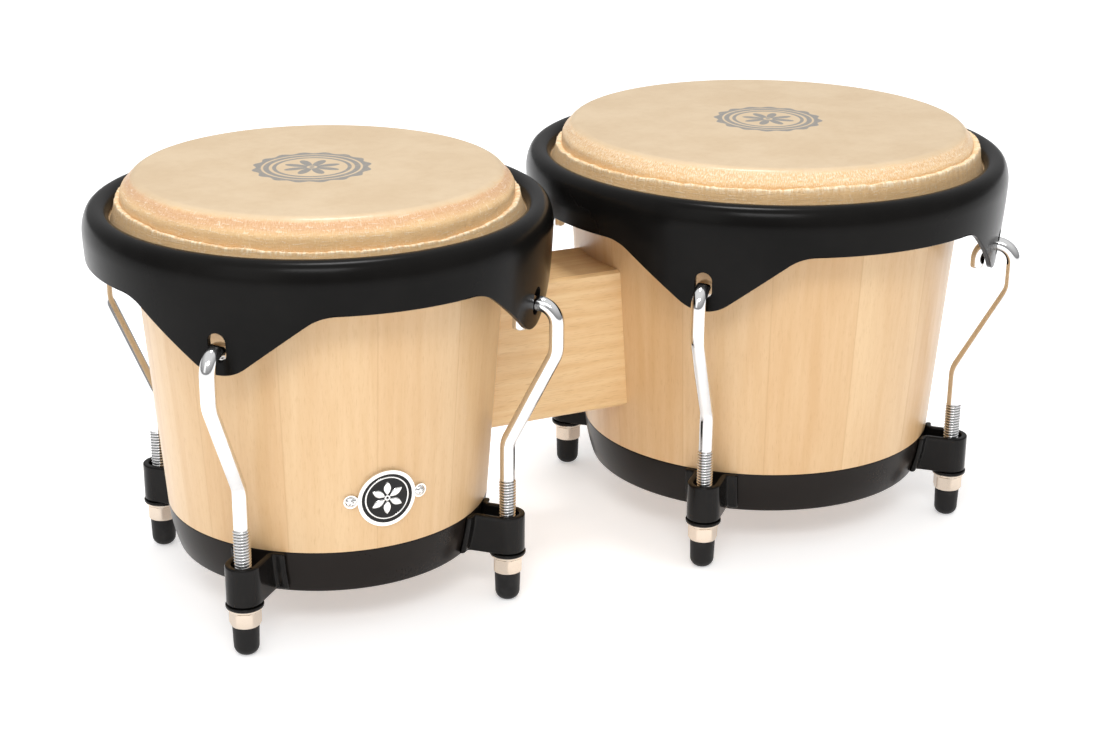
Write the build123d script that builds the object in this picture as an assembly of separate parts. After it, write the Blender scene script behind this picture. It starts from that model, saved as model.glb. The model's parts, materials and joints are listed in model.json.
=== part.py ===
from build123d import *
import os
from dataclasses import dataclass
from math import asin, atan2, cos, degrees, radians, sin, sqrt

# Bongo drums: a small and a large stave drum joined by a wooden block.
# Millimetres, +Z up, +X from the small drum to the large one, -Y is the player's side.
# Origin: middle of the footprint, on the surface that the rubber feet stand on.

os.makedirs("parts", exist_ok=True)


@dataclass
class Drum:
    """Sizes that differ between the two drums."""

    name: str
    side: int  # -1 stands at -X, +1 at +X
    foot_radius: float  # outside of the wooden shell at the top of its bottom band
    stave_count: int
    first_seam: float  # angle of one glue seam, degrees
    head_top: float  # height of the playing surface
    edge_width: float  # width and height of the shell's rounded outer edge
    edge_drop: float
    rim_set: float  # playing surface down to the rim's crest
    hoop_clearance: float  # between the wood and the lapped hoop
    lug_reach: float  # a rod's threaded end stands out this far from the wood
    hook_gap: float  # clear distance between the rim and a rod's upper leg


SMALL = Drum("small", -1, 69.4, 12, -4.0, 184.2, 5.0, 6.2, 12.2, 1.6425, 13.9, 3.725)
LARGE = Drum("large", 1, 81.8, 14, 164.0, 182.6, 3.8, 5.0, 11.6, 2.1425, 12.8, 2.525)
DRUMS = (SMALL, LARGE)
CORNERS = {"front_left": -135.0, "front_right": -45.0, "back_right": 45.0, "back_left": 135.0}

# Clearances
moving_gap = 0.3  # between pieces that move past each other
tuning_travel = 3.0  # the rim's travel, each way from rest
end_clearance = 0.5
thread_clearance = 0.08  # running fit, on the radius
bolt_clearance = 0.25

# Hook rods
rod_wire = 3.175
thread_height = 0.395  # a rolled thread stands out this far from the wire
thread_chamfer = 0.6
hook_hollow = 4.775  # inside radius of the hook's bend
hook_flat = 0.1  # straight run on top of the hook
hook_tail = 4.5
elbow_bend = 12.0
upper_leg = 20.6
lower_leg = 32.3  # lug's top up to the lower elbow
thread_leg = 15.8  # lug's top up to the thread's end

# Tuning nuts with their washers and rubber feet
nut_wall = 2.3
nut_hex_height = 6.3
nut_flange_height = 1.8
nut_flange_edge = 0.9
nut_seat = 2.6  # the flange's bearing width, out from the strap's inside
nut_chamfer = 0.8
nut_turn = -7.0  # where the hexagons came to rest
washer_sheet = 1.4
washer_play = 0.4  # between the thread and the washer's hole
washer_edge = 0.5  # the washer stands out this far from the nut's flange
collar_wall = 1.25
collar_height = 4.1
rubber_wall = 0.65
rubber_height = 13.4
rubber_round = 4.0
rubber_floor = 2.0

# Lugs: strap loops welded on the bottom band
strap_play = 1.23  # between the thread and the inside of the strap
strap_sheet = 2.7
lug_height = 17.0
lug_margin = 2.2  # band's bottom up to the lug's bottom
flange_reach = 12.0
lug_round = 2.0

# Shells and their bottom bands
rim_gap = 9.9  # clear distance between the two rims
shell_slope = 0.075  # radius gained per millimetre of height
shell_wall = 11.0
band_height = 19.4
band_tuck = 4.0  # how far the band's outside draws in towards its bottom
band_sheet = 1.6
band_lip = 5.6  # width of the lip turned in under the wood
band_corner = 0.3  # inside corner between the band and its lip
band_belly = 0.32  # share of the tuck already drawn in just above mid height
band_belly_lift = 1.0
crown_flat = 1.0  # flat between the wood's inner chamfer and its rounded edge
edge_fullness = 0.72  # of the wood's rounded edge
skin_fullness = 0.75  # of the skin's rounded shoulder over it

# Rim: a bead rolled inwards on top of a skirt that drops into four ears
rim_sheet = 2.4
bead_radius = 5.0
bead_leave = 25.0  # angle at which the bead runs into the side
bead_end = 190.0  # angle at which the rolled lip ends
side_radius = 17.4
skirt_height = 21.2  # rim crest down to the edge between the ears
skirt_draw = 2.9  # how far the ears' tips draw in from the side
skirt_curve = 1.4  # power by which the skirt draws in with depth
ear_depth = 26.0
ear_round = 18.0
ear_lift = 0.15  # the ears' hollow fillets run out this far above the rim's lower edge
flank_angle = 37.2
slot_play = 0.525  # on each side of the hook
slot_height = 11.9
slot_margin = 5.8  # metal left under the slot
hook_seat = 1.8  # slot's bottom up to the wire of the hook

# Head skin and the hoop that it is lapped around
skin = 1.5
lap_skin = 1.2
skirt_gap = 0.4
hoop_wire = 4.4
hoop_side_gap = 3.6  # between the lap and the rim's wall
hoop_lip_gap = 1.5  # lap's top under the middle of the rolled bead

# Block between the drums, with its through bolts and saddles
block_width = 40.2
block_height = 64.9
block_drop = 0.55  # below the middle between the band and the small rim
block_chamfer = 1.2
bolt_pitch = 32.0
bolt_radius = 4.0
bolt_across = 13.0
bolt_head_height = 5.3
bolt_nut_height = 6.5
bolt_end = 3.0
saddle_width = 30.0
saddle_height = 54.0
saddle_edge = 2.5

# Badge on the front of the small drum
badge_angle = -91.0
badge_stand = 42.5  # badge's middle above the bottom band's bottom edge
badge_radius = 12.5
badge_sheet = 1.0
badge_ring = 1.6
badge_ring_rise = 0.7
badge_fill = 0.4
screw_gap = 0.1  # between the ring and the screws' heads
screw_head_radius = 2.3
screw_head_height = 1.3
screw_shank_radius = 1.3
screw_length = 8.0
screw_seat = badge_sheet + 0.1  # the head bears on the plate's curve
tab_margin = 0.7
cross_width = 0.8
cross_length = 2.6
cross_depth = 0.7
cross_turn = 30.0  # where the screws came to rest

# Worked out from the sizes above
thread_radius = rod_wire + thread_height
hook_bend = rod_wire + hook_hollow
nut_bore = thread_radius + thread_clearance
nut_across = 2 * (nut_bore + nut_wall)
collar_radius = nut_bore + collar_wall
rubber_radius = collar_radius + rubber_wall
strap_inner = thread_radius + strap_play
strap_radius = strap_inner + strap_sheet
nut_flange_radius = strap_inner + nut_seat
washer_radius = nut_flange_radius + washer_edge
washer_bore = thread_radius + washer_play
nut_hex_top = rubber_height + nut_hex_height
nut_top = nut_hex_top + nut_flange_height
washer_top = nut_top + washer_sheet
lug_bottom = washer_top + moving_gap
lug_top = lug_bottom + lug_height
band_bottom = lug_bottom - lug_margin
band_top = band_bottom + band_height
thread_end = rubber_floor + tuning_travel + end_clearance
slot_width = 2 * (rod_wire + slot_play)
lap_wire = hoop_wire + moving_gap + lap_skin
hoop_inset = rim_sheet + hoop_side_gap + lap_wire
hoop_drop = bead_radius + hoop_lip_gap + lap_wire
badge_height = band_bottom + badge_stand
screw_offset = badge_radius + screw_gap + screw_head_radius


def shell_radius(drum, height, inset=0.0):
    """Outside radius of the wood at a height, or of a surface inside it."""
    return drum.foot_radius + shell_slope * (height - band_top) - inset


def rim_top(drum):
    """Height of the rim's crest."""
    return drum.head_top - drum.rim_set


def hoop_place(drum):
    """Radius and height of the flesh hoop's centre line."""
    height = rim_top(drum) - hoop_drop
    return (shell_radius(drum, height) + drum.hoop_clearance + lap_wire, height)


def rim_radius(drum):
    """Widest outside radius of the rim, which clears the lapped hoop."""
    return hoop_place(drum)[0] + hoop_inset


def rod_radius(drum):
    """Distance of a rod's threaded end from the drum's axis."""
    return drum.foot_radius + drum.lug_reach


def rim_edge(drum):
    """Height of the rim's lower edge between its ears."""
    return rim_top(drum) - skirt_height


drum_distance = rim_radius(SMALL) + rim_gap + rim_radius(LARGE)
centre_shift = (rim_radius(LARGE) - rim_radius(SMALL)) / 2
block_middle = (band_top + rim_edge(SMALL)) / 2 - block_drop
block_bottom = block_middle - block_height / 2
block_top = block_middle + block_height / 2


def centre_x(drum):
    """X of a drum's axis, with the pair's bounding box centred on the origin."""
    return drum.side * drum_distance / 2 - centre_shift


def place(shape, drum, angle=0.0):
    """A shape made about the Z axis, turned by an angle and moved to its drum."""
    return Pos(centre_x(drum), 0, 0) * Rot(0, 0, angle) * shape


def save(name, *solids):
    """One STEP file for one named sub-part."""
    shape = solids[0] if len(solids) == 1 else Compound(children=list(solids))
    export_step(shape, f"parts/{name}.step")


def polar(centre, radius, angle):
    """Point at an angle in degrees around a centre, in the section's R-Z plane."""
    return (centre[0] + radius * cos(radians(angle)), centre[1] + radius * sin(radians(angle)))


def section(*edges):
    """Face in the XZ plane from edges drawn as (radius, height)."""
    return Plane.XZ * make_face(Wire(list(edges)))


def lines(*points):
    """Straight edges through the points."""
    return [Line(a, b) for a, b in zip(points, points[1:])]


def arc(first, centre, radius, middle, last):
    """Arc about a centre from one point to another, through the middle angle."""
    return ThreePointArc(first, polar(centre, radius, middle), last)


def band_edge(drum, offset=0.0):
    """The band's outside line, from its top edge to its bottom edge, moved out by an offset."""
    top = (shell_radius(drum, band_top) + offset, band_top)
    middle = (top[0] - band_belly * band_tuck, (band_top + band_bottom) / 2 + band_belly_lift)
    bottom = (top[0] - band_tuck, band_bottom)
    return top, middle, bottom


def cone(drum, inset, low, high):
    """Solid of revolution that fills a surface parallel to the shell's outside."""
    face = section(
        *lines(
            (0, low),
            (shell_radius(drum, low, inset), low),
            (shell_radius(drum, high, inset), high),
            (0, high),
            (0, low),
        )
    )
    return revolve(face, Axis.Z)


# ---------------------------------------------------------------- wooden shell


def shell_section(drum):
    """Cut through the wood: rebate for the band, tapered wall and rounded bearing edge."""
    top = drum.head_top - skin
    shoulder = top - drum.edge_drop
    outer = shell_radius(drum, shoulder)
    crown = outer - drum.edge_width
    edge_middle = (outer - (1 - edge_fullness) * drum.edge_width, top - (1 - edge_fullness) * drum.edge_drop)
    inner_top = (shell_radius(drum, shoulder, shell_wall), shoulder)
    foot = band_bottom + band_sheet
    inner_foot = (shell_radius(drum, foot, shell_wall), foot)
    rebate_top, rebate_middle, rebate_bottom = band_edge(drum, -band_sheet)
    foot_edge = (rebate_bottom[0] + band_corner, foot)
    return section(
        *lines(foot_edge, inner_foot, inner_top, (crown - crown_flat, top), (crown, top)),
        ThreePointArc((crown, top), edge_middle, (outer, shoulder)),
        Line((outer, shoulder), (shell_radius(drum, band_top), band_top)),
        Line((shell_radius(drum, band_top), band_top), rebate_top),
        ThreePointArc(rebate_top, rebate_middle, foot_edge),
    )


def block_bolt_heights():
    """Heights of the two bolts that pull the drums onto the block."""
    return (block_middle - bolt_pitch / 2, block_middle + bolt_pitch / 2)


def bolt_bores(radius):
    """Cylinders along X through both drums on the bolts' lines."""
    return [Pos(0, 0, z) * Rot(0, 90, 0) * Cylinder(radius, drum_distance) for z in block_bolt_heights()]


def badge_frame(across=0.0):
    """Placing for a badge piece: its local Z leaves the small shell, its X runs around it."""
    angle = badge_angle + degrees(across / shell_radius(SMALL, badge_height))
    lean = degrees(atan2(shell_slope, 1))
    stand = shell_radius(SMALL, badge_height)
    return Pos(centre_x(SMALL), 0, badge_height) * Rot(0, 0, angle) * Pos(stand, 0, 0) * Rot(0, 90 + lean, 0)


def badge_screw_bores():
    """The screws' pilot holes in the wood."""
    depth = Pos(0, 0, screw_seat - screw_length / 2)
    return [badge_frame(s * screw_offset) * depth * Cylinder(screw_shank_radius, screw_length) for s in (-1, 1)]


def make_shell(drum):
    """Glued staves, each a wedge of the turned shell, drilled for bolts and badge screws."""
    step = 360 / drum.stave_count
    wedge = revolve(shell_section(drum), Axis.Z, revolution_arc=step)
    bores = bolt_bores(bolt_radius + bolt_clearance)
    if drum is SMALL:
        bores += badge_screw_bores()
    staves = []
    for i in range(drum.stave_count):
        stave = place(wedge, drum, drum.first_seam + i * step)
        for bore in bores:
            stave -= bore
        staves.append(stave.solid())
    return staves


# ---------------------------------------------------------------- bottom band and lugs


def make_band(drum):
    """Pressed steel band around the shell's foot, with a lip turned in under the wood."""
    outer_top, outer_middle, outer_bottom = band_edge(drum)
    inner_top, inner_middle, inner_bottom = band_edge(drum, -band_sheet)
    corner = (inner_bottom[0] + band_corner, band_bottom + band_sheet)
    lip = outer_bottom[0] - band_lip
    face = section(
        ThreePointArc(outer_top, outer_middle, outer_bottom),
        *lines(outer_bottom, (lip, band_bottom), (lip, band_bottom + band_sheet), corner),
        ThreePointArc(corner, inner_middle, inner_top),
        Line(inner_top, outer_top),
    )
    return revolve(face, Axis.Z)


def band_body(drum, offset=0.0):
    """Everything inside the band's outside surface, or inside that surface moved out."""
    top, middle, bottom = band_edge(drum, offset)
    face = section(
        Line((0, band_bottom), bottom),
        ThreePointArc(bottom, middle, top),
        Line(top, (0, band_top)),
        Line((0, band_top), (0, band_bottom)),
    )
    return revolve(face, Axis.Z)


def loop_prism(drum, half_width):
    """Upright block with a round end about the rod's axis, reaching in to the drum."""
    height = lug_top - lug_bottom
    middle = (lug_top + lug_bottom) / 2
    reach = rod_radius(drum) - drum.foot_radius + 2 * band_tuck
    bar = Pos(rod_radius(drum) - reach / 2, 0, middle) * Box(reach, 2 * half_width, height)
    return bar + Pos(rod_radius(drum), 0, middle) * Cylinder(half_width, height)


def make_lug(drum):
    """Strap bent round the rod, its two ends spread along the band as welding flanges."""
    height = lug_top - lug_bottom
    middle = (lug_top + lug_bottom) / 2
    layer = band_body(drum, strap_sheet) & (
        Pos(drum.foot_radius, 0, middle) * Box(4 * strap_sheet, 2 * flange_reach, height)
    )
    lug = layer + loop_prism(drum, strap_radius) - loop_prism(drum, strap_radius - strap_sheet)
    lug -= band_body(drum)
    root = drum.foot_radius + strap_sheet - band_tuck / 2
    corners = (
        lug.edges()
        .filter_by(lambda e: e.length > height - lug_round)
        .filter_by(lambda e: abs(abs(e.center().Y) - strap_radius) < lug_round / 10)
        .filter_by(lambda e: abs(e.center().X - root) < band_tuck)
    )
    return fillet(corners, lug_round).solid()


# ---------------------------------------------------------------- rim


def make_rim(drum):
    """Rolled steel rim: turned profile, four ears and the slots for the hooks."""
    bead = (
        rim_radius(drum) - side_radius + (side_radius - bead_radius) * cos(radians(bead_leave)),
        rim_top(drum) - bead_radius,
    )
    side = (rim_radius(drum) - side_radius, bead[1] - (side_radius - bead_radius) * sin(radians(bead_leave)))
    edge_z = rim_edge(drum)
    tip_z = edge_z - ear_depth
    span = side[1] - tip_z

    def wall(height, inset):
        """Point on one face of the skirt, which draws in faster towards the ears' tips."""
        return (rim_radius(drum) - skirt_draw * ((side[1] - height) / span) ** skirt_curve - inset, height)

    def curves(inset):
        """Bead, side and skirt lines of one face of the sheet, from the lip downwards."""
        small = bead_radius - inset
        large = side_radius - inset
        lip = polar(bead, small, bead_end)
        leave = polar(bead, small, bead_leave)
        widest = (rim_radius(drum) - inset, side[1])
        low = wall(edge_z, inset)
        return (
            [
                arc(lip, bead, small, (bead_end + bead_leave) / 2, leave),
                arc(leave, side, large, bead_leave / 2, widest),
                ThreePointArc(widest, wall((side[1] + edge_z) / 2, inset), low),
            ],
            lip,
            low,
        )

    outer, outer_lip, outer_low = curves(0.0)
    inner, inner_lip, inner_low = curves(rim_sheet)
    ring = revolve(
        section(*outer, Line(outer_low, inner_low), *reversed(inner), Line(inner_lip, outer_lip)), Axis.Z
    )

    middle_z = (edge_z + tip_z) / 2
    strip = revolve(
        section(
            Line(inner_low, outer_low),
            ThreePointArc(outer_low, wall(middle_z, 0), wall(tip_z, 0)),
            Line(wall(tip_z, 0), wall(tip_z, rim_sheet)),
            ThreePointArc(wall(tip_z, rim_sheet), wall(middle_z, rim_sheet), inner_low),
        ),
        Axis.Z,
    )
    lobe = ear_outline(edge_z, tip_z)
    slot = Pos(0, 0, tip_z + slot_margin + slot_height / 2) * (
        Plane.YZ * extrude(SlotOverall(slot_height, slot_width, rotation=90), 2 * rim_radius(drum))
    )
    rim = ring
    for angle in CORNERS.values():
        rim += strip & (Rot(0, 0, angle) * lobe)
    for angle in CORNERS.values():
        rim -= Rot(0, 0, angle) * slot
    return rim.solid()


def ear_outline(edge_z, tip_z):
    """Prism along +X whose outline is an ear: round tip, straight flanks, hollow fillets."""
    phi = radians(flank_angle)
    apex = tip_z - ear_round * (1 / cos(phi) - 1)
    tip_y = ear_round * sin(phi)
    tip_end = (tip_y, tip_z + ear_round * (1 - cos(phi)))
    hollow_z = edge_z + ear_lift - ear_round
    hollow_y = (hollow_z - apex + ear_round / cos(phi)) / (sin(phi) / cos(phi))
    flank_end = (hollow_y - ear_round * sin(phi), hollow_z + ear_round * cos(phi))
    open_angle = degrees(asin((ear_round - ear_lift) / ear_round))
    run_out = polar((hollow_y, hollow_z), ear_round, open_angle)
    run_out = (hollow_y - (run_out[0] - hollow_y), run_out[1])
    bend_angle = (90 + flank_angle + 180 - open_angle) / 2
    right = [
        Line(tip_end, flank_end),
        arc(flank_end, (hollow_y, hollow_z), ear_round, bend_angle, run_out),
    ]
    left = [edge.mirror(Plane.YZ) for edge in right]
    outline = Wire(
        [
            ThreePointArc((-tip_end[0], tip_end[1]), (0, tip_z), tip_end),
            *right,
            Line(run_out, (-run_out[0], run_out[1])),
            *left,
        ]
    )
    return Plane.YZ * extrude(make_face(outline), 2 * rim_radius(LARGE))


# ---------------------------------------------------------------- head


def make_hoop(drum):
    """Round steel hoop inside the lap of the skin."""
    radius, height = hoop_place(drum)
    return Pos(0, 0, height) * Torus(radius, hoop_wire)


def make_skin(drum):
    """Rawhide: flat playing surface, rounded shoulder, skirt, and the lap around the hoop."""
    radius, height = hoop_place(drum)
    top = drum.head_top
    under = top - skin
    shoulder = under - drum.edge_drop
    inner_wall = shell_radius(drum, shoulder) + skirt_gap
    outer_wall = inner_wall + skin
    crown = shell_radius(drum, shoulder) - drum.edge_width

    def bend(wall, level):
        """The skin's rounded shoulder, a little fuller than the wood's edge under it."""
        return ThreePointArc(
            (crown, level),
            (wall - (1 - skin_fullness) * (wall - crown), level - (1 - skin_fullness) * (level - shoulder)),
            (wall, shoulder),
        )

    lap_side = radius - sqrt(lap_wire**2 - (hoop_wire / 2) ** 2)
    foot = height + hoop_wire / 2
    disc = section(
        Line((0, top), (crown, top)),
        bend(outer_wall, top),
        *lines(
            (outer_wall, shoulder),
            (lap_side + skin, foot),
            (lap_side, foot),
            (inner_wall, shoulder),
        ),
        bend(inner_wall, under),
        *lines((crown, under), (0, under), (0, top)),
    )
    lap = Plane.XZ * (Pos(radius, height) * (Circle(lap_wire) - Circle(hoop_wire + moving_gap)))
    return (revolve(disc, Axis.Z) + revolve(lap, Axis.Z)).solid()


# ---------------------------------------------------------------- hook rods, nuts and feet


def make_rod(drum):
    """Hook over the ear, a double bend in towards the shell, and a rolled thread."""
    bend_z = rim_edge(drum) - ear_depth + slot_margin + hook_seat + rod_wire
    thread_top = lug_top + thread_leg
    outer = rim_radius(drum) + drum.hook_gap + rod_wire
    inner = outer - 2 * hook_bend - hook_flat
    path = Plane.XZ * FilletPolyline(
        (inner, bend_z - hook_bend - hook_tail),
        (inner, bend_z),
        (outer, bend_z),
        (outer, bend_z - upper_leg),
        (rod_radius(drum), lug_top + lower_leg),
        (rod_radius(drum), thread_top - thread_chamfer),
        radius=[hook_bend, hook_bend, elbow_bend, elbow_bend],
    )
    start = Plane(path @ 0, z_dir=path % 0)
    shank = sweep(start * Circle(rod_wire), path)
    length = thread_top - thread_end
    thread = Pos(rod_radius(drum), 0, thread_end + length / 2) * Cylinder(thread_radius, length)
    thread = chamfer(thread.edges().filter_by(GeomType.CIRCLE), thread_chamfer)
    return (shank + thread).solid()


def standing(radius, low, high):
    """Cylinder about the Z axis between two heights."""
    return Pos(0, 0, (low + high) / 2) * Cylinder(radius, high - low)


def make_nut(drum):
    """Hexagon nut with a bearing flange on top and a collar for the foot below."""
    outline = RegularPolygon(nut_across / 2, 6, major_radius=False, rotation=nut_turn)
    hexagon = extrude(Pos(0, 0, rubber_height) * outline, nut_hex_height)
    cap = standing(nut_across / sqrt(3), rubber_height, nut_hex_top)
    cap = chamfer(cap.edges().filter_by(GeomType.CIRCLE).sort_by(Axis.Z)[0], nut_chamfer)
    flange = revolve(
        section(
            *lines(
                (0, nut_hex_top),
                (nut_across / 2, nut_hex_top),
                (nut_flange_radius, nut_top - nut_flange_edge),
                (nut_flange_radius, nut_top),
                (0, nut_top),
                (0, nut_hex_top),
            )
        ),
        Axis.Z,
    )
    collar = standing(collar_radius, rubber_height - collar_height, rubber_height)
    bore = standing(nut_bore, 0, nut_top + 1)
    return Pos(rod_radius(drum), 0, 0) * ((hexagon & cap) + flange + collar - bore).solid()


def make_washer(drum):
    """Flat washer that turns with the nut and bears on the lug."""
    washer = standing(washer_radius, nut_top, washer_top) - standing(washer_bore, nut_top, washer_top)
    return Pos(rod_radius(drum), 0, 0) * washer.solid()


def make_foot(drum):
    """Rubber foot pressed on the nut's collar, hollow below for the rod's end."""
    corner = (rubber_radius - rubber_round, rubber_round)
    collar_bottom = rubber_height - collar_height
    face = section(
        Line((0, 0), (corner[0], 0)),
        arc((corner[0], 0), corner, rubber_round, -45, (rubber_radius, rubber_round)),
        *lines(
            (rubber_radius, rubber_round),
            (rubber_radius, rubber_height),
            (collar_radius, rubber_height),
            (collar_radius, collar_bottom),
            (nut_bore, collar_bottom),
            (nut_bore, rubber_floor),
            (0, rubber_floor),
            (0, 0),
        ),
    )
    return Pos(rod_radius(drum), 0, 0) * revolve(face, Axis.Z)


# ---------------------------------------------------------------- block


def shell_body(drum):
    """Everything inside a drum's wooden outside, over the block's height."""
    return place(cone(drum, 0.0, block_bottom - 1, block_top + 1), drum)


def make_block():
    """Hardwood block, coped to both shells and drilled for the through bolts."""
    length = drum_distance - shell_radius(SMALL, block_middle) / 2 - shell_radius(LARGE, block_middle) / 2
    middle = (centre_x(SMALL) + shell_radius(SMALL, block_middle) / 2 + length / 2, 0, block_middle)
    block = Pos(*middle) * Box(length, block_width, block_top - block_bottom)
    block = chamfer(block.edges().filter_by(Axis.X), block_chamfer)
    block -= shell_body(SMALL)
    block -= shell_body(LARGE)
    for bore in bolt_bores(bolt_radius + bolt_clearance):
        block -= bore
    return block.solid()


def saddle_face(drum):
    """Distance from a drum's axis to the flat face that the bolts bear on."""
    low = shell_radius(drum, block_middle - saddle_height / 2, shell_wall)
    return sqrt(low**2 - (saddle_width / 2) ** 2) - saddle_edge


def make_saddle(drum):
    """Steel saddle inside the shell: curved back on the wood, flat face for the bolts."""
    flat = saddle_face(drum)
    depth = shell_wall
    inside = cone(drum, shell_wall, block_bottom - 1, block_top + 1)
    bar = Pos(-drum.side * (flat + depth / 2), 0, block_middle) * Box(depth, saddle_width, saddle_height)
    saddle = place(bar & inside, drum)
    for bore in bolt_bores(bolt_radius + bolt_clearance):
        saddle -= bore
    return saddle.solid()


def hexagon_on_x(across, height, bore=0.0):
    """Hexagon prism along +X from the origin, with its corners chamfered round."""
    head = extrude(RegularPolygon(across / 2, 6, major_radius=False), height)
    round_bar = Cylinder(across / sqrt(3), height, align=(Align.CENTER, Align.CENTER, Align.MIN))
    head &= chamfer(round_bar.edges().filter_by(GeomType.CIRCLE).sort_by(Axis.Z)[-1], nut_chamfer)
    if bore:
        head -= Cylinder(bore, 3 * height)
    return Rot(0, 90, 0) * head


def make_block_bolts():
    """Bolts from inside the small drum, through the block, to nuts inside the large drum."""
    start = centre_x(SMALL) + saddle_face(SMALL)
    finish = centre_x(LARGE) - saddle_face(LARGE)
    length = finish - start + bolt_nut_height + bolt_end
    bolts = []
    nuts = []
    for z in block_bolt_heights():
        shank = Pos(start + length / 2, 0, z) * Rot(0, 90, 0) * Cylinder(bolt_radius, length)
        head = Pos(start, 0, z) * Rot(0, 0, 180) * hexagon_on_x(bolt_across, bolt_head_height)
        bolts.append((shank + head).solid())
        nuts.append((Pos(finish, 0, z) * hexagon_on_x(bolt_across, bolt_nut_height, bolt_radius)).solid())
    return bolts, nuts


# ---------------------------------------------------------------- badge


def badge_layer(low, high):
    """Sheet that follows the small shell's outside, between two distances from the wood."""
    reach = 2 * badge_radius
    z_low = badge_height - reach
    z_high = badge_height + reach
    return place(cone(SMALL, -high, z_low, z_high) - cone(SMALL, -low, z_low, z_high), SMALL)


def badge_disc(radius, across=0.0):
    """Cylinder that leaves the shell at the badge's middle, or a distance to its side."""
    return badge_frame(across) * Cylinder(radius, 4 * screw_length)


def make_badge():
    """Round plate with a raised edge ring and two ears for screws, and its filled middle."""
    field = badge_disc(badge_radius - badge_ring)
    outline = badge_disc(badge_radius)
    for across in (-screw_offset, screw_offset):
        outline += badge_disc(screw_head_radius + tab_margin, across)
    plate = badge_layer(0.0, badge_sheet) & outline
    for across in (-screw_offset, screw_offset):
        plate -= badge_disc(screw_shank_radius, across)
    ring = badge_layer(badge_sheet, badge_sheet + badge_ring_rise) & (badge_disc(badge_radius) - field)
    fill = badge_layer(badge_sheet, badge_sheet + badge_fill) & field
    window = 4 * badge_radius
    front = Pos(centre_x(SMALL), -shell_radius(SMALL, badge_height), badge_height) * Box(
        window, window, window
    )
    return ((plate + ring) & front).solid(), (fill & front).solid()


def make_badge_screws():
    """Round-headed cross-slot screws."""
    dome = (screw_head_radius**2 + screw_head_height**2) / (2 * screw_head_height)
    screws = []
    for across in (-screw_offset, screw_offset):
        head = Pos(0, 0, screw_head_height - dome) * Sphere(dome)
        head &= Cylinder(screw_head_radius + 1, screw_head_height, align=(Align.CENTER, Align.CENTER, Align.MIN))
        for turn in (cross_turn, cross_turn + 90):
            slot = Rot(0, 0, turn) * Box(cross_length, cross_width, 2 * cross_depth)
            head -= Pos(0, 0, screw_head_height) * slot
        shank = Cylinder(screw_shank_radius, screw_length, align=(Align.CENTER, Align.CENTER, Align.MAX))
        screws.append((badge_frame(across) * Pos(0, 0, screw_seat) * (head + shank)).solid())
    return screws


# ---------------------------------------------------------------- files

for drum in DRUMS:
    save(f"shell_{drum.name}", *make_shell(drum))
    save(f"bottom_band_{drum.name}", place(make_band(drum), drum))
    save(f"rim_{drum.name}", place(make_rim(drum), drum))
    save(f"flesh_hoop_{drum.name}", place(make_hoop(drum), drum))
    save(f"head_skin_{drum.name}", place(make_skin(drum), drum))
    save(f"block_saddle_{drum.name}", make_saddle(drum))
    corner_pieces = {
        "lug": make_lug(drum),
        "hook_rod": make_rod(drum),
        "washer": make_washer(drum),
        "tuning_nut": make_nut(drum),
        "foot": make_foot(drum),
    }
    for corner, angle in CORNERS.items():
        for piece, shape in corner_pieces.items():
            save(f"{piece}_{drum.name}_{corner}", place(shape, drum, angle))

save("centre_block", make_block())
bolts, nuts = make_block_bolts()
save("block_bolts", *bolts)
save("block_nuts", *nuts)
badge_plate, badge_field = make_badge()
save("badge_plate", badge_plate)
save("badge_field", badge_field)
save("badge_screws", *make_badge_screws())
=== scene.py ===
"""Looks of a pair of bongo drums: two stave drums with steel rims, joined by a wooden block.

Sizes inside the classes are millimetres; meshes are written in metres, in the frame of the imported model.
"""

import json
import logging
import math
from dataclasses import dataclass
from enum import Enum
from typing import Any, Mapping, Optional, Sequence, Union

import bpy
import numpy as np
from mathutils import Matrix, Vector

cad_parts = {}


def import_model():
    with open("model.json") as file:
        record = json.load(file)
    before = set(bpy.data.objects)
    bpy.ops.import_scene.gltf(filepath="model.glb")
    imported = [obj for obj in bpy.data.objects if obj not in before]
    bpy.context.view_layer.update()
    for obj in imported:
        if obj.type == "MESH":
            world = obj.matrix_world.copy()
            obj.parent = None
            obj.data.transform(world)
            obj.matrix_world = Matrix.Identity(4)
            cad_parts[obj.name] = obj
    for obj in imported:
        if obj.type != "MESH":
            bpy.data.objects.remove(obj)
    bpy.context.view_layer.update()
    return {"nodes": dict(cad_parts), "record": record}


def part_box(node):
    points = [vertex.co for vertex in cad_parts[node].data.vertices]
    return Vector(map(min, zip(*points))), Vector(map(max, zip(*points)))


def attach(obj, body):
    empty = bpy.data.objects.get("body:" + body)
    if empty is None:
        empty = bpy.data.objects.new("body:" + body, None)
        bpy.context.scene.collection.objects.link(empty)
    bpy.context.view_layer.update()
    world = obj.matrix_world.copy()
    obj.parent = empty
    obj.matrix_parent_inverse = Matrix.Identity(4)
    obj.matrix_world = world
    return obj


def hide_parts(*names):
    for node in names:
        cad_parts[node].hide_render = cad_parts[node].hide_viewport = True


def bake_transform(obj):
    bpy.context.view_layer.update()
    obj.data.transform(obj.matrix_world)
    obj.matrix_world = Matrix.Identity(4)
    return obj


MM = 0.001
LOG = logging.getLogger("bongos")
TAPER = 0.075

Array = np.ndarray
Colour = tuple[float, float, float]
Size = Union[float, np.ndarray]
Input = Union["Signal", float, Sequence[float]]


def tint(red: float, green: float, blue: float) -> Colour:
    """Turns a paint chip's 0 to 255 display values into the linear light that shaders work in.

    Args:
        red, green, blue: the chip's values.

    Returns:
        The linear colour.
    """
    chip = np.array([red, green, blue], float) / 255.0
    low = chip / 12.92
    high = ((chip + 0.055) / 1.055) ** 2.4
    return tuple(float(v) for v in np.where(chip <= 0.04045, low, high))


# ---------------------------------------------------------------- shapes


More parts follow.
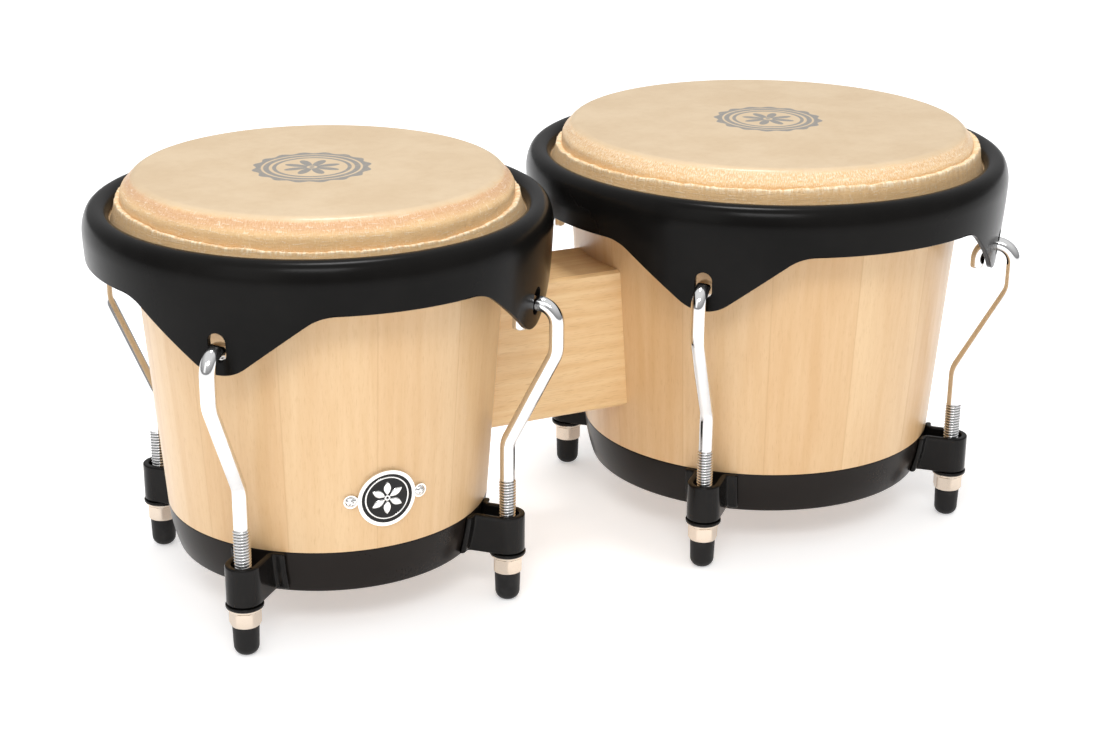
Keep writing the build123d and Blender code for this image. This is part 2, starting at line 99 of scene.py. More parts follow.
def rounded(corners: Array, radii: Sequence[float], steps: int = 5, closed: bool = True) -> Array:
    """Line through corners with an arc in place of each corner.

    The arc touches both sides at radius / tan(half the corner's angle) from the corner; its points
    turn evenly from one touching point to the other about the arc's centre.

    Args:
        corners: one row per corner, in two or three coordinates.
        radii: the arc's radius at each corner; the ends of an open line keep theirs at zero.
        steps: divisions of each arc.
        closed: whether the last corner joins the first.

    Returns:
        The points of the line, one row each.
    """
    corners = np.asarray(corners, float)
    size = np.maximum(np.asarray(radii, float), 1e-4)[:, None]
    before = np.roll(corners, 1, axis=0)
    after = np.roll(corners, -1, axis=0)
    if not closed:
        before[0] = corners[0] - (corners[1] - corners[0])
        after[-1] = corners[-1] + (corners[-1] - corners[-2])
    back = before - corners
    ahead = after - corners
    back /= np.linalg.norm(back, axis=1, keepdims=True)
    ahead /= np.linalg.norm(ahead, axis=1, keepdims=True)
    half = np.arccos(np.clip((back * ahead).sum(1, keepdims=True), -1, 1)) / 2
    reach = size / np.maximum(np.tan(half), 1e-6)
    turn = np.maximum(np.pi - 2 * half, 1e-5)[:, :, None]
    bisector = back + ahead
    bisector /= np.maximum(np.linalg.norm(bisector, axis=1, keepdims=True), 1e-9)
    straight = half > np.pi / 2 - 1e-4
    centre = corners + bisector * size / np.maximum(np.sin(half), 1e-6)
    first = corners + back * reach - centre
    last = corners + ahead * reach - centre
    share = np.linspace(0, 1, steps + 1)[None, :, None]
    arc = (np.sin((1 - share) * turn) * first[:, None] + np.sin(share * turn) * last[:, None]) / np.sin(turn)
    points = np.where(straight[:, :, None], corners[:, None], centre[:, None] + arc)
    if not closed:
        points[0] = corners[0]
        points[-1] = corners[-1]
    points = points.reshape(-1, corners.shape[1])
    step = np.linalg.norm(np.diff(points, axis=0), axis=1)
    return points[np.concatenate([[True], step > 1e-6])]


def along(line: Array, spacing: float) -> Array:
    """Points at even distances along an open line.

    Args:
        line: the line's points, one row each.
        spacing: the wanted distance, which is adjusted to divide the length.

    Returns:
        The new points.
    """
    step = np.linalg.norm(np.diff(line, axis=0), axis=1)
    travelled = np.concatenate([[0.0], np.cumsum(step)])
    count = max(2, int(round(travelled[-1] / spacing)) + 1)
    places = np.linspace(0, travelled[-1], count)
    return np.stack([np.interp(places, travelled, line[:, k]) for k in range(line.shape[1])], axis=1)


def spun(profile: Array, sides: int) -> Array:
    """Surface of revolution: each (radius, height) of a profile goes round the Z axis.

    Args:
        profile: radius and height, one row per point.
        sides: divisions of the full turn.

    Returns:
        A grid of points, profile along the rows and angle along the columns.
    """
    turn = np.arange(sides) * (2 * np.pi / sides)
    radius = profile[:, :1]
    height = np.broadcast_to(profile[:, 1:2], (len(profile), sides))
    return np.stack([radius * np.cos(turn), radius * np.sin(turn), height], axis=-1)


def smooth(value: Array) -> Array:
    """Eases from 0 to 1 with flat ends: 3v squared minus 2v cubed, with v held between 0 and 1."""
    held = np.clip(value, 0, 1)
    return held * held * (3 - 2 * held)


def ripple(angle: Array, seed: int, waves: Sequence[int]) -> Array:
    """Uneven but closed variation round a turn: a sum of sines with seeded sizes and starts.

    Args:
        angle: angles round the turn, radians.
        seed: picks the sizes and starts.
        waves: whole numbers of waves in the turn.

    Returns:
        Values of about -1 to 1, in the shape of angle.
    """
    dice = np.random.default_rng(seed)
    size = dice.uniform(0.4, 1.0, len(waves))
    start = dice.uniform(0, 2 * np.pi, len(waves))
    count = np.asarray(waves, float)
    parts = np.sin(np.asarray(angle)[..., None] * count + start) * size
    return parts.sum(-1) / np.sqrt((size**2).sum())


@dataclass
class Skin:
    """A grid of points that becomes a mesh of quads.

    Attributes:
        grid: rows by columns of points, millimetres.
        rows_close: the last row joins the first.
        columns_close: the last column joins the first.
        poles: the first and last rows are each closed with a fan.
        keep: which faces to keep, as rows by columns, or None for all of them.
    """

    grid: Array
    rows_close: bool = False
    columns_close: bool = True
    poles: bool = False
    keep: Optional[Array] = None

    def faces(self) -> tuple[Array, Array]:
        """Corner numbers of the quads and of the fans' triangles.

        Returns:
            The quads and the triangles, as rows of corner numbers.
        """
        rows, columns = self.grid.shape[:2]
        number = np.arange(rows * columns).reshape(rows, columns)
        if self.rows_close:
            number = np.concatenate([number, number[:1]])
        if self.columns_close:
            number = np.concatenate([number, number[:, :1]], axis=1)
        quads = np.stack([number[:-1, :-1], number[:-1, 1:], number[1:, 1:], number[1:, :-1]], -1)
        if self.keep is not None:
            quads = quads[self.keep]
        quads = quads.reshape(-1, 4)
        if not self.poles:
            return quads, np.zeros((0, 3), int)
        first, last = number[0], number[-1]
        low = np.stack([first[1:], first[:-1], np.full(len(first) - 1, rows * columns)], -1)
        high = np.stack([last[:-1], last[1:], np.full(len(last) - 1, rows * columns + 1)], -1)
        return quads, np.concatenate([low, high])

    def points(self) -> Array:
        """All the mesh's points, with a pole at the middle of each end row where poles is set.

        Returns:
            One row for each point, millimetres.
        """
        flat = self.grid.reshape(-1, 3)
        if self.poles:
            flat = np.concatenate([flat, [self.grid[0].mean(0)], [self.grid[-1].mean(0)]])
        return flat


def mesh_of(name: str, skins: Sequence[Skin], crease: float = 50.0, closed: bool = True) -> bpy.types.Object:
    """Writes grids into one new mesh object at the origin, with its faces looking outwards.

    A grid whose enclosed volume comes out negative has its faces turned round.

    Args:
        name: the piece's name.
        skins: the grids, in millimetres.
        crease: edges that turn more than this many degrees stay sharp.
        closed: whether the grids enclose volumes, so that their direction can be told.

    Returns:
        The new object.
    """
    all_points, corners, sizes = [], [], []
    offset = 0
    for skin in skins:
        points = skin.points()
        quads, fans = skin.faces()
        if closed:
            triangles = np.concatenate([quads[:, :3], quads[:, [0, 2, 3]], fans])
            a, b, c = (points[triangles[:, k]] for k in range(3))
            if np.einsum("ij,ij->i", a, np.cross(b, c)).sum() < 0:
                quads, fans = quads[:, ::-1], fans[:, ::-1]
        corners += [(quads + offset).ravel(), (fans + offset).ravel()]
        sizes += [np.full(len(quads), 4), np.full(len(fans), 3)]
        all_points.append(points)
        offset += len(points)
    where = np.concatenate(all_points) * MM
    loops = np.concatenate(corners).astype(np.int32)
    size = np.concatenate(sizes)
    mesh = bpy.data.meshes.new(name)
    mesh.vertices.add(len(where))
    mesh.vertices.foreach_set("co", where.astype(np.float32).ravel())
    mesh.loops.add(len(loops))
    mesh.loops.foreach_set("vertex_index", loops)
    mesh.polygons.add(len(size))
    mesh.polygons.foreach_set("loop_start", np.concatenate([[0], np.cumsum(size)[:-1]]).astype(np.int32))
    mesh.polygons.foreach_set("use_smooth", np.ones(len(size), bool))
    mesh.update(calc_edges=True)
    mesh.validate()
    mesh.set_sharp_from_angle(angle=math.radians(crease))
    piece = bpy.data.objects.new(name, mesh)
    bpy.context.scene.collection.objects.link(piece)
    return piece


# ---------------------------------------------------------------- shader writing


class Signal:
    """One output socket of a shader, on which arithmetic adds the Math nodes."""

    def __init__(self, paint: "Paint", socket: bpy.types.NodeSocket) -> None:
        """Wraps a socket of a paint's tree."""
        self.paint = paint
        self.socket = socket

    def math(self, operation: str, *others: Input) -> "Signal":
        """A Math node on this value and the others."""
        inputs = dict(enumerate((self, *others)))
        return self.paint.node("ShaderNodeMath", {"operation": operation}, inputs)

    def flipped(self, operation: str, other: float) -> "Signal":
        """A Math node with a plain number first and this value second."""
        return self.paint.node("ShaderNodeMath", {"operation": operation}, {0: other, 1: self})

    def __add__(self, other: Input) -> "Signal":
        """Sum."""
        return self.math("ADD", other)

    __radd__ = __add__

    def __mul__(self, other: Input) -> "Signal":
        """Product."""
        return self.math("MULTIPLY", other)

    __rmul__ = __mul__

    def __sub__(self, other: Input) -> "Signal":
        """Difference."""
        return self.math("SUBTRACT", other)

    def __rsub__(self, other: float) -> "Signal":
        """A number minus this value."""
        return self.flipped("SUBTRACT", other)

    def __truediv__(self, other: Input) -> "Signal":
        """Quotient."""
        return self.math("DIVIDE", other)

    def __rtruediv__(self, other: float) -> "Signal":
        """A number over this value."""
        return self.flipped("DIVIDE", other)

    def step(self, low: float, high: float) -> "Signal":
        """Rises smoothly from 0 at low to 1 at high; falls instead where low is the larger."""
        settings = {"interpolation_type": "SMOOTHSTEP"}
        return self.paint.node("ShaderNodeMapRange", settings, {0: self, 1: low, 2: high, 3: 0.0, 4: 1.0})

    def band(self, middle: float, half: float, soft: float) -> "Signal":
        """1 within half of a middle value, and 0 beyond a soft edge."""
        return (self - middle).math("ABSOLUTE").step(half + soft, half)


class Paint:
    """One material: its node tree, its shader and short ways to add nodes."""

    def __init__(self, name: str, **constants: Any) -> None:
        """Starts a material.

        Args:
            name: the material's name.
            constants: shader sockets that are the same all over, with spaces as underscores.
        """
        self.material = bpy.data.materials.new(name)
        self.material.use_nodes = True
        self.tree = self.material.node_tree
        self.shader = next(n for n in self.tree.nodes if n.type == "BSDF_PRINCIPLED")
        for key, value in constants.items():
            self.set(key.replace("_", " "), value)

    def node(
        self,
        kind: str,
        settings: Optional[Mapping[str, Any]] = None,
        inputs: Optional[Mapping[Union[str, int], Input]] = None,
        output: Union[str, int] = 0,
    ) -> Signal:
        """Adds a node.

        Args:
            kind: the node's type.
            settings: the node's own properties, set first; stops are a ramp's places and colours.
            inputs: a value or a signal for each socket, by name or number.
            output: the socket that is wanted.

        Returns:
            That output.
        """
        made = self.tree.nodes.new(kind)
        for key, value in (settings or {}).items():
            if key == "stops":
                ramp = made.color_ramp.elements
                for place, shade in value[2:]:
                    ramp.new(place).color = (*shade, 1.0)
                for element, (place, shade) in zip((ramp[0], ramp[-1]), (value[0], value[1])):
                    element.position = place
                    element.color = (*shade, 1.0)
            else:
                setattr(made, key, value)
        for key, value in (inputs or {}).items():
            self.feed(made.inputs[key], value)
        return Signal(self, made.outputs[output])

    def feed(self, socket: bpy.types.NodeSocket, value: Input) -> None:
        """Links a signal to a socket, or sets a plain value on it.

        Args:
            socket: the socket to feed.
            value: a signal, a number, a colour or a vector.
        """
        if isinstance(value, Signal):
            self.tree.links.new(value.socket, socket)
        elif socket.type == "RGBA" and len(value) == 3:
            socket.default_value = (*value, 1.0)
        else:
            socket.default_value = value

    def set(self, name: str, value: Input) -> None:
        """Feeds one of the shader's own sockets."""
        self.feed(self.shader.inputs[name], value)

    def place(self) -> Signal:
        """The point on the piece, in the model's frame, metres."""
        return self.node("ShaderNodeTexCoord", output="Object")

    def attribute(self, name: str, part: str = "Vector") -> Signal:
        """What the mesh carries under a name: a vector, or one number where part is Fac."""
        return self.node("ShaderNodeAttribute", {"attribute_name": name}, output=part)

    def split(self, vector: Signal) -> tuple[Signal, Signal, Signal]:
        """The three parts of a vector."""
        made = self.node("ShaderNodeSeparateXYZ", inputs={0: vector}).socket.node
        return tuple(Signal(self, made.outputs[k]) for k in range(3))

    def join(self, x: Input, y: Input, z: Input) -> Signal:
        """A vector from three parts."""
        return self.node("ShaderNodeCombineXYZ", inputs={0: x, 1: y, 2: z})

    def stretch(self, vector: Signal, scale: Sequence[float]) -> Signal:
        """A vector with each part multiplied."""
        return self.node("ShaderNodeVectorMath", {"operation": "MULTIPLY"}, {0: vector, 1: scale})

    def noise(self, vector: Signal, scale: float, detail: float = 3.0, rough: float = 0.55) -> Signal:
        """Soft random variation of about 0.3 to 0.7."""
        inputs = {"Vector": vector, "Scale": scale, "Detail": detail, "Roughness": rough}
        return self.node("ShaderNodeTexNoise", None, inputs)

    def dice(self, number: Signal) -> Signal:
        """One random value from 0 to 1 for each whole number."""
        return self.node("ShaderNodeTexWhiteNoise", {"noise_dimensions": "1D"}, {"W": number})

    def mix(self, share: Input, first: Input, second: Input, blend: str = "MIX") -> Signal:
        """Colour that goes from the first to the second as share goes from 0 to 1."""
        settings = {"data_type": "RGBA", "blend_type": blend, "clamp_factor": True}
        return self.node("ShaderNodeMix", settings, {0: share, 6: first, 7: second}, 2)

    def bump(self, height: Signal, depth: float, strength: float = 1.0) -> None:
        """Relief of a real depth in metres on the shader's normal."""
        inputs = {"Height": height, "Distance": depth, "Strength": strength}
        self.set("Normal", self.node("ShaderNodeBump", None, inputs))


@dataclass(frozen=True)
class Finish:
    """A finish that a piece can wear.

    Attributes:
        slot: the record's material slot.
    """

    slot: str

    def paint(self) -> Paint:
        """Makes the material's nodes."""
        raise NotImplementedError

    def material(self) -> bpy.types.Material:
        """The finish as a material, made once for each finish."""
        found = bpy.data.materials.get(self.title())
        return found or self.paint().material

    def title(self) -> str:
        """The material's name."""
        return f"{self.slot}_finish"


@dataclass(frozen=True)
class StaveWood(Finish):
    """Lacquered pale hardwood in upright staves.

    Attributes:
        drum: the drum's name, for the material's name.
        axis: the drum's X.
        seams: number of staves.
        first_seam: angle of one glue seam, degrees.
        radius: the shell's radius, millimetres.
        pale, honey: the wood's two tones.
        tick: the colour of its pores and dark figure.
        seam: the colour of a glue line.
    """

    drum: str
    axis: float
    seams: int
    first_seam: float
    radius: float
    pale: Colour = tint(224, 191, 147)
    honey: Colour = tint(208, 167, 118)
    tick: Colour = tint(184, 138, 90)
    seam: Colour = tint(190, 148, 100)

    def title(self) -> str:
        """The material's name."""
        return f"{self.slot}_{self.drum}"

    def paint(self) -> Paint:
        """Staves that differ in tone, with upright figure, pores and thin glue lines.

        Returns:
            The paint.
        """
        p = Paint(self.title(), Metallic=0.0, Coat_Roughness=0.22, Coat_Weight=0.18, Specular_IOR_Level=0.4)
        x, y, z = p.split(p.place())
        turn = y.math("ARCTAN2", x - self.axis * MM) * (180 / math.pi)
        count = (turn - self.first_seam + 720.0) / (360.0 / self.seams)
        stave = count.math("FLOOR")
        inside = count.math("FRACT")
        arc = turn * (math.pi / 180 * self.radius * MM)
        chance = p.dice(stave)
        other = p.dice(stave + 37.0)
        flat = p.join(arc + chance * 0.7, stave * 0.13, z * 0.07 + other)
        figure = p.noise(flat, 260.0, 3.0, 0.6)
        broad = p.noise(p.stretch(flat, (1.0, 1.0, 0.6)), 52.0, 2.0)
        fine = p.noise(p.join(arc, stave * 0.3, z * 0.12), 1500.0, 2.0, 0.7)
        pores = p.noise(p.join(arc + chance, stave * 0.3, z * 0.055), 2300.0, 1.0).step(0.66, 0.74)
        speck = p.noise(p.join(arc, other, z * 0.5), 420.0, 2.0).step(0.62, 0.8)
        tone = figure.step(0.3, 0.72) * 0.35 + broad.step(0.3, 0.7) * 0.35 + chance * 0.42 - 0.1
        base = p.mix(tone, self.pale, self.honey)
        base = p.mix(fine.step(0.5, 0.75) * 0.22, base, self.tick)
        base = p.mix(pores * 0.35 + speck * 0.1, base, self.tick)
        edge = (inside - 0.5).math("ABSOLUTE")
        width = 0.13 / (2 * math.pi * self.radius / self.seams)
        line = edge.step(0.5 - 3 * width, 0.5 - width)
        p.set("Base Color", p.mix(line * 0.3, base, self.seam))
        p.set("Roughness", figure * 0.12 + pores * 0.1 + 0.30)
        p.bump(fine * 0.35 - pores * 0.6 - line * 0.5, 0.00006, 0.6)
        return p


@dataclass(frozen=True)
class BlockWood(Finish):
    """The same lacquered hardwood, its grain lying along the block."""

    pale: Colour = tint(238, 204, 152)
    honey: Colour = tint(223, 178, 122)
    tick: Colour = tint(184, 134, 84)

    def paint(self) -> Paint:
        """Grain along X, with gently waving rings and short pores.

        Returns:
            The paint.
        """
        p = Paint(self.title(), Metallic=0.0, Coat_Roughness=0.25, Coat_Weight=0.15, Specular_IOR_Level=0.4)
        place = p.place()
        _, y, z = p.split(place)
        wave = p.noise(p.stretch(place, (5.0, 25.0, 25.0)), 1.0, 2.0)
        rings = ((z + y * 0.55 + wave * 0.02) * 900.0).math("SINE") * 0.5 + 0.5
        figure = p.noise(p.stretch(place, (0.07, 1.0, 1.0)), 300.0, 3.0, 0.6)
        fine = p.noise(p.stretch(place, (0.09, 1.0, 1.0)), 1700.0, 2.0, 0.7)
        pores = p.noise(p.stretch(place, (0.05, 1.0, 1.0)), 2500.0, 1.0).step(0.66, 0.74)
        base = p.mix(rings * 0.28 + figure.step(0.3, 0.7) * 0.5, self.pale, self.honey)
        base = p.mix(fine.step(0.5, 0.75) * 0.25, base, self.tick)
        p.set("Base Color", p.mix(pores * 0.4, base, self.tick))
        p.set("Roughness", figure * 0.12 + 0.31)
        p.bump(fine * 0.4 - pores * 0.6, 0.00006, 0.6)
        return p


@dataclass(frozen=True)
class Rawhide(Finish):
    """Smooth worn hide on top, reddish at the shoulder, golden and fibrous on its skirt.

    Attributes:
        drum: the drum's name, for the material's name.
        head_top: height of the playing surface.
        wall: radius of the skirt.
        seed: shifts the mottling.
        print_shift: how far the round print's middle is from the drum's axis, right and back.
        flushed: how reddish the shoulder is, from 0 to 1.
        fuzzy: how much pale nap the shoulder has, from 0 to 1.
        flat, cloud: the playing surface's two tones.
        blush: the shoulder's reddish tone.
        gold, amber: the skirt's two tones.
        fleck: the colour of pale fibres.
        ink: the print's colour.
    """

    drum: str
    head_top: float
    wall: float
    seed: float
    print_shift: tuple[float, float]
    flushed: float
    fuzzy: float
    flat: Colour = tint(213, 188, 152)
    cloud: Colour = tint(201, 173, 134)
    blush: Colour = tint(203, 148, 106)
    gold: Colour = tint(232, 196, 145)
    amber: Colour = tint(217, 170, 112)
    fleck: Colour = tint(250, 236, 208)
    ink: Colour = tint(131, 127, 121)

    def title(self) -> str:
        """The material's name."""
        return f"{self.slot}_{self.drum}"

    def rosette(self, p: Paint, x: Signal, y: Signal) -> Signal:
        """Plain round ornament: a scalloped ring, two thin rings and eight petals.

        Args:
            p: the paint that the nodes go to.
            x, y: place from the drum's axis, millimetres.

        Returns:
            1 where there is ink, less where it is worn, and 0 beside it.
        """
        right = x - self.print_shift[0]
        back = y - self.print_shift[1]
        out = (right * right + back * back).math("SQRT")
        turn = back.math("ARCTAN2", right)
        scallop = (turn * 16.0).math("COSINE") * 0.9
        outer = (out + scallop).step(24.3, 23.8) * out.step(17.6, 18.0)
        gap = out.band(20.6, 0.35, 0.25)
        ring = out.band(15.6, 0.7, 0.25)
        petal = (turn * 4.0).math("COSINE").math("ABSOLUTE") * 9.0 + 3.0
        flower = (out - petal).step(0.35, -0.05) * out.step(2.0, 2.4)
        middle = out.step(1.3, 1.0)
        shape = (outer - gap).math("MAXIMUM", ring).math("MAXIMUM", flower).math("MAXIMUM", middle)
        worn = p.noise(p.join(right, back, self.seed), 0.5, 4.0, 0.7).step(0.28, 0.5) * 0.25 + 0.72
        return shape * worn

    def paint(self) -> Paint:
        """Zones by radius and height, each with its own mottling, fibres and flecks, and painted shade low on
        the skirt.

        Returns:
            The paint.
        """
        p = Paint(
            self.title(),
            Metallic=0.0,
            Specular_IOR_Level=0.45,
            Coat_Roughness=0.22,
            Sheen_Weight=0.05,
        )
        place = p.attribute("hide_place")
        x, y, z = p.split(place)
        turn = y.math("ARCTAN2", x) * self.wall
        drop = self.head_top - z
        shifted = p.node("ShaderNodeVectorMath", {"operation": "ADD"}, {0: place, 1: (self.seed, 3.1, 7.7)})
        clouds = p.noise(shifted, 0.035, 4.0, 0.6)
        mottle = p.noise(shifted, 0.22, 4.0, 0.65)
        grain = p.noise(shifted, 2.6, 3.0, 0.6)
        fibre = p.noise(p.join(turn * 0.16, drop * 1.5, self.seed), 1.0, 4.0, 0.7)
        crimp = p.noise(p.join(turn * 0.9, drop * 0.22, self.seed + 5.0), 1.0, 3.0, 0.6)
        hair = p.noise(p.join(turn * 2.4, drop * 0.8, self.seed + 9.0), 1.0, 2.0, 0.6)
        top = p.mix(clouds.step(0.35, 0.68) * 0.6 + mottle.step(0.4, 0.75) * 0.3, self.flat, self.cloud)
        top = p.mix(grain.step(0.55, 0.75) * 0.08, top, self.fleck)
        uneven = drop + (clouds - 0.5) * 5.0
        blush = uneven.step(0.4, 2.0) * uneven.step(6.2, 3.2) * self.flushed
        side = p.mix(fibre.step(0.35, 0.68) * 0.8, self.gold, self.amber)
        side = p.mix(blush * (fibre * 0.8 + 0.25), side, self.blush)
        side = p.mix(crimp.step(0.58, 0.75) * 0.45, side, self.fleck)
        streak = (hair * fibre.step(0.4, 0.7)).step(0.26, 0.42)
        side = p.mix(streak * 0.5, side, self.fleck)
        nap = hair.step(0.45, 0.62) * uneven.step(0.3, 1.5) * uneven.step(9.0, 4.0) * self.fuzzy
        side = p.mix(nap * 0.6, side, self.fleck)
        cut = p.attribute("cut_edge", "Fac")
        side = p.mix(cut * (crimp.step(0.42, 0.62) * 0.75 + 0.1), side, self.fleck)
        low = (drop + (mottle - 0.5) * 1.6).step(0.3, 2.2)
        hide = p.mix(low, top, side)
        # painted shade: the skirt darkens towards a deep brown from 13 to 20 mm under the playing surface,
        # low inside the rim
        hide = p.mix(drop.step(13.0, 20.0) * 0.4, hide, tint(120, 82, 44))
        mark = self.rosette(p, x, y) * drop.step(1.2, 0.6)
        p.set("Base Color", p.mix(mark, hide, self.ink))
        p.set("Roughness", low * 0.2 + grain * 0.1 + 0.36)
        p.set("Coat Weight", drop.step(7.0, 2.5) * 0.4)
        relief = grain * 0.25 + mottle * 0.3 + low * (crimp * 1.2 + fibre * 2.4 + hair * 1.4)
        p.bump(relief, 0.00022, 0.7)
        return p


class Gloss(Enum):
    """How polished an enamel or powder coat is: roughness, specular level, then coat weight."""

    SATIN = (0.22, 0.09, 0.0)
    SOFT = (0.28, 0.14, 0.0)
    WET = (0.13, 0.12, 0.08)


@dataclass(frozen=True)
class Enamel(Finish):
    """Black paint baked on steel.

    Attributes:
        gloss: how polished it is.
        dark: its colour.
        dust: the colour of the dust on it.
        peel: depth of the paint's orange-peel relief, metres.
    """

    gloss: Gloss
    dark: Colour = tint(26, 25, 24)
    dust: Colour = tint(52, 50, 48)
    peel: float = 0.00003

    def paint(self) -> Paint:
        """Even black with a trace of dust and fine orange-peel relief.

        Returns:
            The paint.
        """
        rough, shine, coat = self.gloss.value
        p = Paint(
            self.title(),
            Metallic=0.0,
            Specular_IOR_Level=shine,
            Coat_Weight=coat,
            Coat_Roughness=0.08,
        )
        place = p.place()
        cloud = p.noise(place, 28.0, 3.0)
        peel = p.noise(place, 900.0, 2.0, 0.6)
        dust = p.noise(place, 2600.0, 1.0).step(0.74, 0.82)
        tone = cloud.step(0.3, 0.7) * 0.10 + dust * 0.22
        p.set("Base Color", p.mix(tone, self.dark, self.dust))
        p.set("Roughness", cloud * 0.10 + peel * 0.05 + (rough - 0.06))
        p.bump(peel, self.peel, 0.5)
        return p


@dataclass(frozen=True)
class Plate(Finish):
    """Plated or polished metal.

    Attributes:
        shade: the metal's reflection colour.
        smear: roughness at its cleanest.
        wipe: how much handling marks add to it.
        shaded_grooves: whether the mesh carries how deep each point lies in a thread, and painted shade
            darkens the grooves.
    """

    shade: Colour
    smear: float
    wipe: float
    shaded_grooves: bool = False

    def paint(self) -> Paint:
        """Mirror metal with faint handling marks and hairline scratches, and painted shade darkening a
        thread's grooves.

        Returns:
            The paint.
        """
        p = Paint(self.title(), Metallic=1.0)
        place = p.place()
        cloud = p.noise(place, 60.0, 4.0, 0.6)
        scratch = p.noise(p.stretch(place, (1.0, 1.0, 0.08)), 2400.0, 2.0, 0.7)
        dull = tuple(0.84 * c for c in self.shade)
        base = p.mix(cloud.step(0.45, 0.75) * 0.5, self.shade, dull)
        if self.shaded_grooves:
            # painted shade: a thread's grooves take 0.3 of the metal's colour, standing in for the shade in
            # them
            base = p.mix(p.attribute("groove", "Fac"), base, tuple(0.3 * c for c in self.shade))
        p.set("Base Color", base)
        p.set("Roughness", cloud.step(0.4, 0.75) * self.wipe + scratch * 0.05 + self.smear)
        p.bump(scratch, 0.000004, 0.4)
        return p


@dataclass(frozen=True)
class Rubber(Finish):
    """Moulded black rubber."""

    dark: Colour = tint(28, 27, 27)
    bloom: Colour = tint(62, 60, 59)

    def paint(self) -> Paint:
        """Dull black with a grey bloom where it is handled and scuffed near the floor.

        Returns:
            The paint.
        """
        p = Paint(self.title(), Metallic=0.0, Specular_IOR_Level=0.18)
        place = p.place()
        height = p.split(place)[2]
        cloud = p.noise(place, 180.0, 3.0)
        grit = p.noise(place, 1800.0, 2.0)
        scuff = height.step(0.003, 0.0005) * cloud.step(0.4, 0.6)
        p.set("Base Color", p.mix(cloud.step(0.45, 0.8) * 0.25 + scuff * 0.4, self.dark, self.bloom))
        p.set("Roughness", grit * 0.2 + scuff * 0.2 + 0.34)
        p.bump(grit, 0.00004, 0.5)
        return p


@dataclass(frozen=True)
class Backdrop:
    """Seamless pale paper under and behind the drums."""

    white: Colour = (0.93, 0.93, 0.935)

    def material(self) -> bpy.types.Material:
        """Matt white paper with a barely visible tooth.

        Returns:
            The material.
        """
        p = Paint("backdrop_paper", Metallic=0.0, Specular_IOR_Level=0.0, Emission_Strength=0.42)
        p.set("Emission Color", (1.0, 1.0, 1.0))
        tooth = p.noise(p.place(), 300.0, 2.0)
        p.set("Base Color", p.mix(tooth * 0.02, self.white, (0.9, 0.9, 0.9)))
        p.set("Roughness", tooth * 0.05 + 0.9)
        return p.material


# ---------------------------------------------------------------- the pair's plan


class Corner(Enum):
    """The four places round a drum where a rod, its lug, nut and foot stand: angle in degrees."""

    front_left = -135.0
    front_right = -45.0
    back_right = 45.0
    back_left = 135.0


@dataclass(frozen=True)
class DrumPlan:
    """One drum's place and main sizes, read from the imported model, in millimetres."""

    name: str
    axis: float
    head_top: float
    rim_top: float
    rim_radius: float
    ear_tip: float
    rod_radius: float
    rod_end: float
    hook_top: float
    band_top: float
    band_bottom: float
    band_radius: float
    lug_top: float
    lug_bottom: float
    nut_top: float
    nut_bottom: float
    foot_top: float
    hoop_radius: float
    hoop_height: float

    @classmethod
    def read(cls, name: str) -> "DrumPlan":
        """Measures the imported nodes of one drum.

        Args:
            name: small or large.

        Returns:
            The drum's plan.
        """

        def box(node: str) -> tuple[Array, Array]:
            """A node's lowest and highest corner in millimetres."""
            low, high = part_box(node)
            return np.array(low) / MM, np.array(high) / MM

        corner = Corner.back_right.name
        rim_low, rim_high = box(f"rim_{name}")
        foot_low, foot_high = box(f"foot_{name}_{corner}")
        band_low, band_high = box(f"bottom_band_{name}")
        lug_low, lug_high = box(f"lug_{name}_{corner}")
        nut_low, nut_high = box(f"tuning_nut_{name}_{corner}")
        rod_low, rod_high = box(f"hook_rod_{name}_{corner}")
        hoop_low, hoop_high = box(f"flesh_hoop_{name}")
        axis = (rim_low[0] + rim_high[0]) / 2
        foot = (foot_low + foot_high) / 2
        wire = (hoop_high[2] - hoop_low[2]) / 2
        return cls(
            name=name,
            axis=axis,
            head_top=box(f"head_skin_{name}")[1][2],
            rim_top=rim_high[2],
            rim_radius=(rim_high[0] - rim_low[0]) / 2,
            ear_tip=rim_low[2],
            rod_radius=math.hypot(foot[0] - axis, foot[1]),
            rod_end=rod_low[2],
            hook_top=rod_high[2],
            band_top=band_high[2],
            band_bottom=band_low[2],
            band_radius=(band_high[0] - band_low[0]) / 2,
            lug_top=lug_high[2],
            lug_bottom=lug_low[2],
            nut_top=nut_high[2],
            nut_bottom=nut_low[2],
            foot_top=foot_high[2],
            hoop_radius=(hoop_high[0] - hoop_low[0]) / 2 - wire,
            hoop_height=(hoop_low[2] + hoop_high[2]) / 2,
        )

    @property
    def rim_body(self) -> str:
        """The body that rises and falls with the rim."""
        return f"rim_{self.name}_set"

    def stand(self, grid: Array, angle: float = 0.0) -> Array:
        """Turns points about the drum's axis and moves them to the drum.

        Args:
            grid: points with X away from the drum's axis.
            angle: the turn, degrees.

        Returns:
            The points in the model's frame, millimetres.
        """
        c, s = math.cos(math.radians(angle)), math.sin(math.radians(angle))
        x, y = grid[..., 0], grid[..., 1]
        return np.stack([x * c - y * s + self.axis, x * s + y * c, grid[..., 2]], axis=-1)

    def shell_radius(self, height: Size) -> Size:
        """Outside radius of the wood at a height: it grows by the taper for each millimetre's rise."""
        return self.band_radius + TAPER * (height - self.band_top)


def settle(piece: bpy.types.Object, finish: Finish, body: Optional[str], *nodes: str) -> bpy.types.Object:
    """Dresses a new piece, ties it to its body and hides the CAD nodes that it stands for.

    Args:
        piece: the new object.
        finish: what it wears.
        body: the body it rides on, or None for no body.
        nodes: the CAD nodes that it replaces.

    Returns:
        The piece.
    """
    piece.data.materials.append(finish.material())
    if body is not None:
        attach(piece, body)
    if nodes:
        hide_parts(*nodes)
    LOG.info("%s: %d faces, %s", piece.name, len(piece.data.polygons), finish.slot)
    return piece


# ---------------------------------------------------------------- sub-assemblies


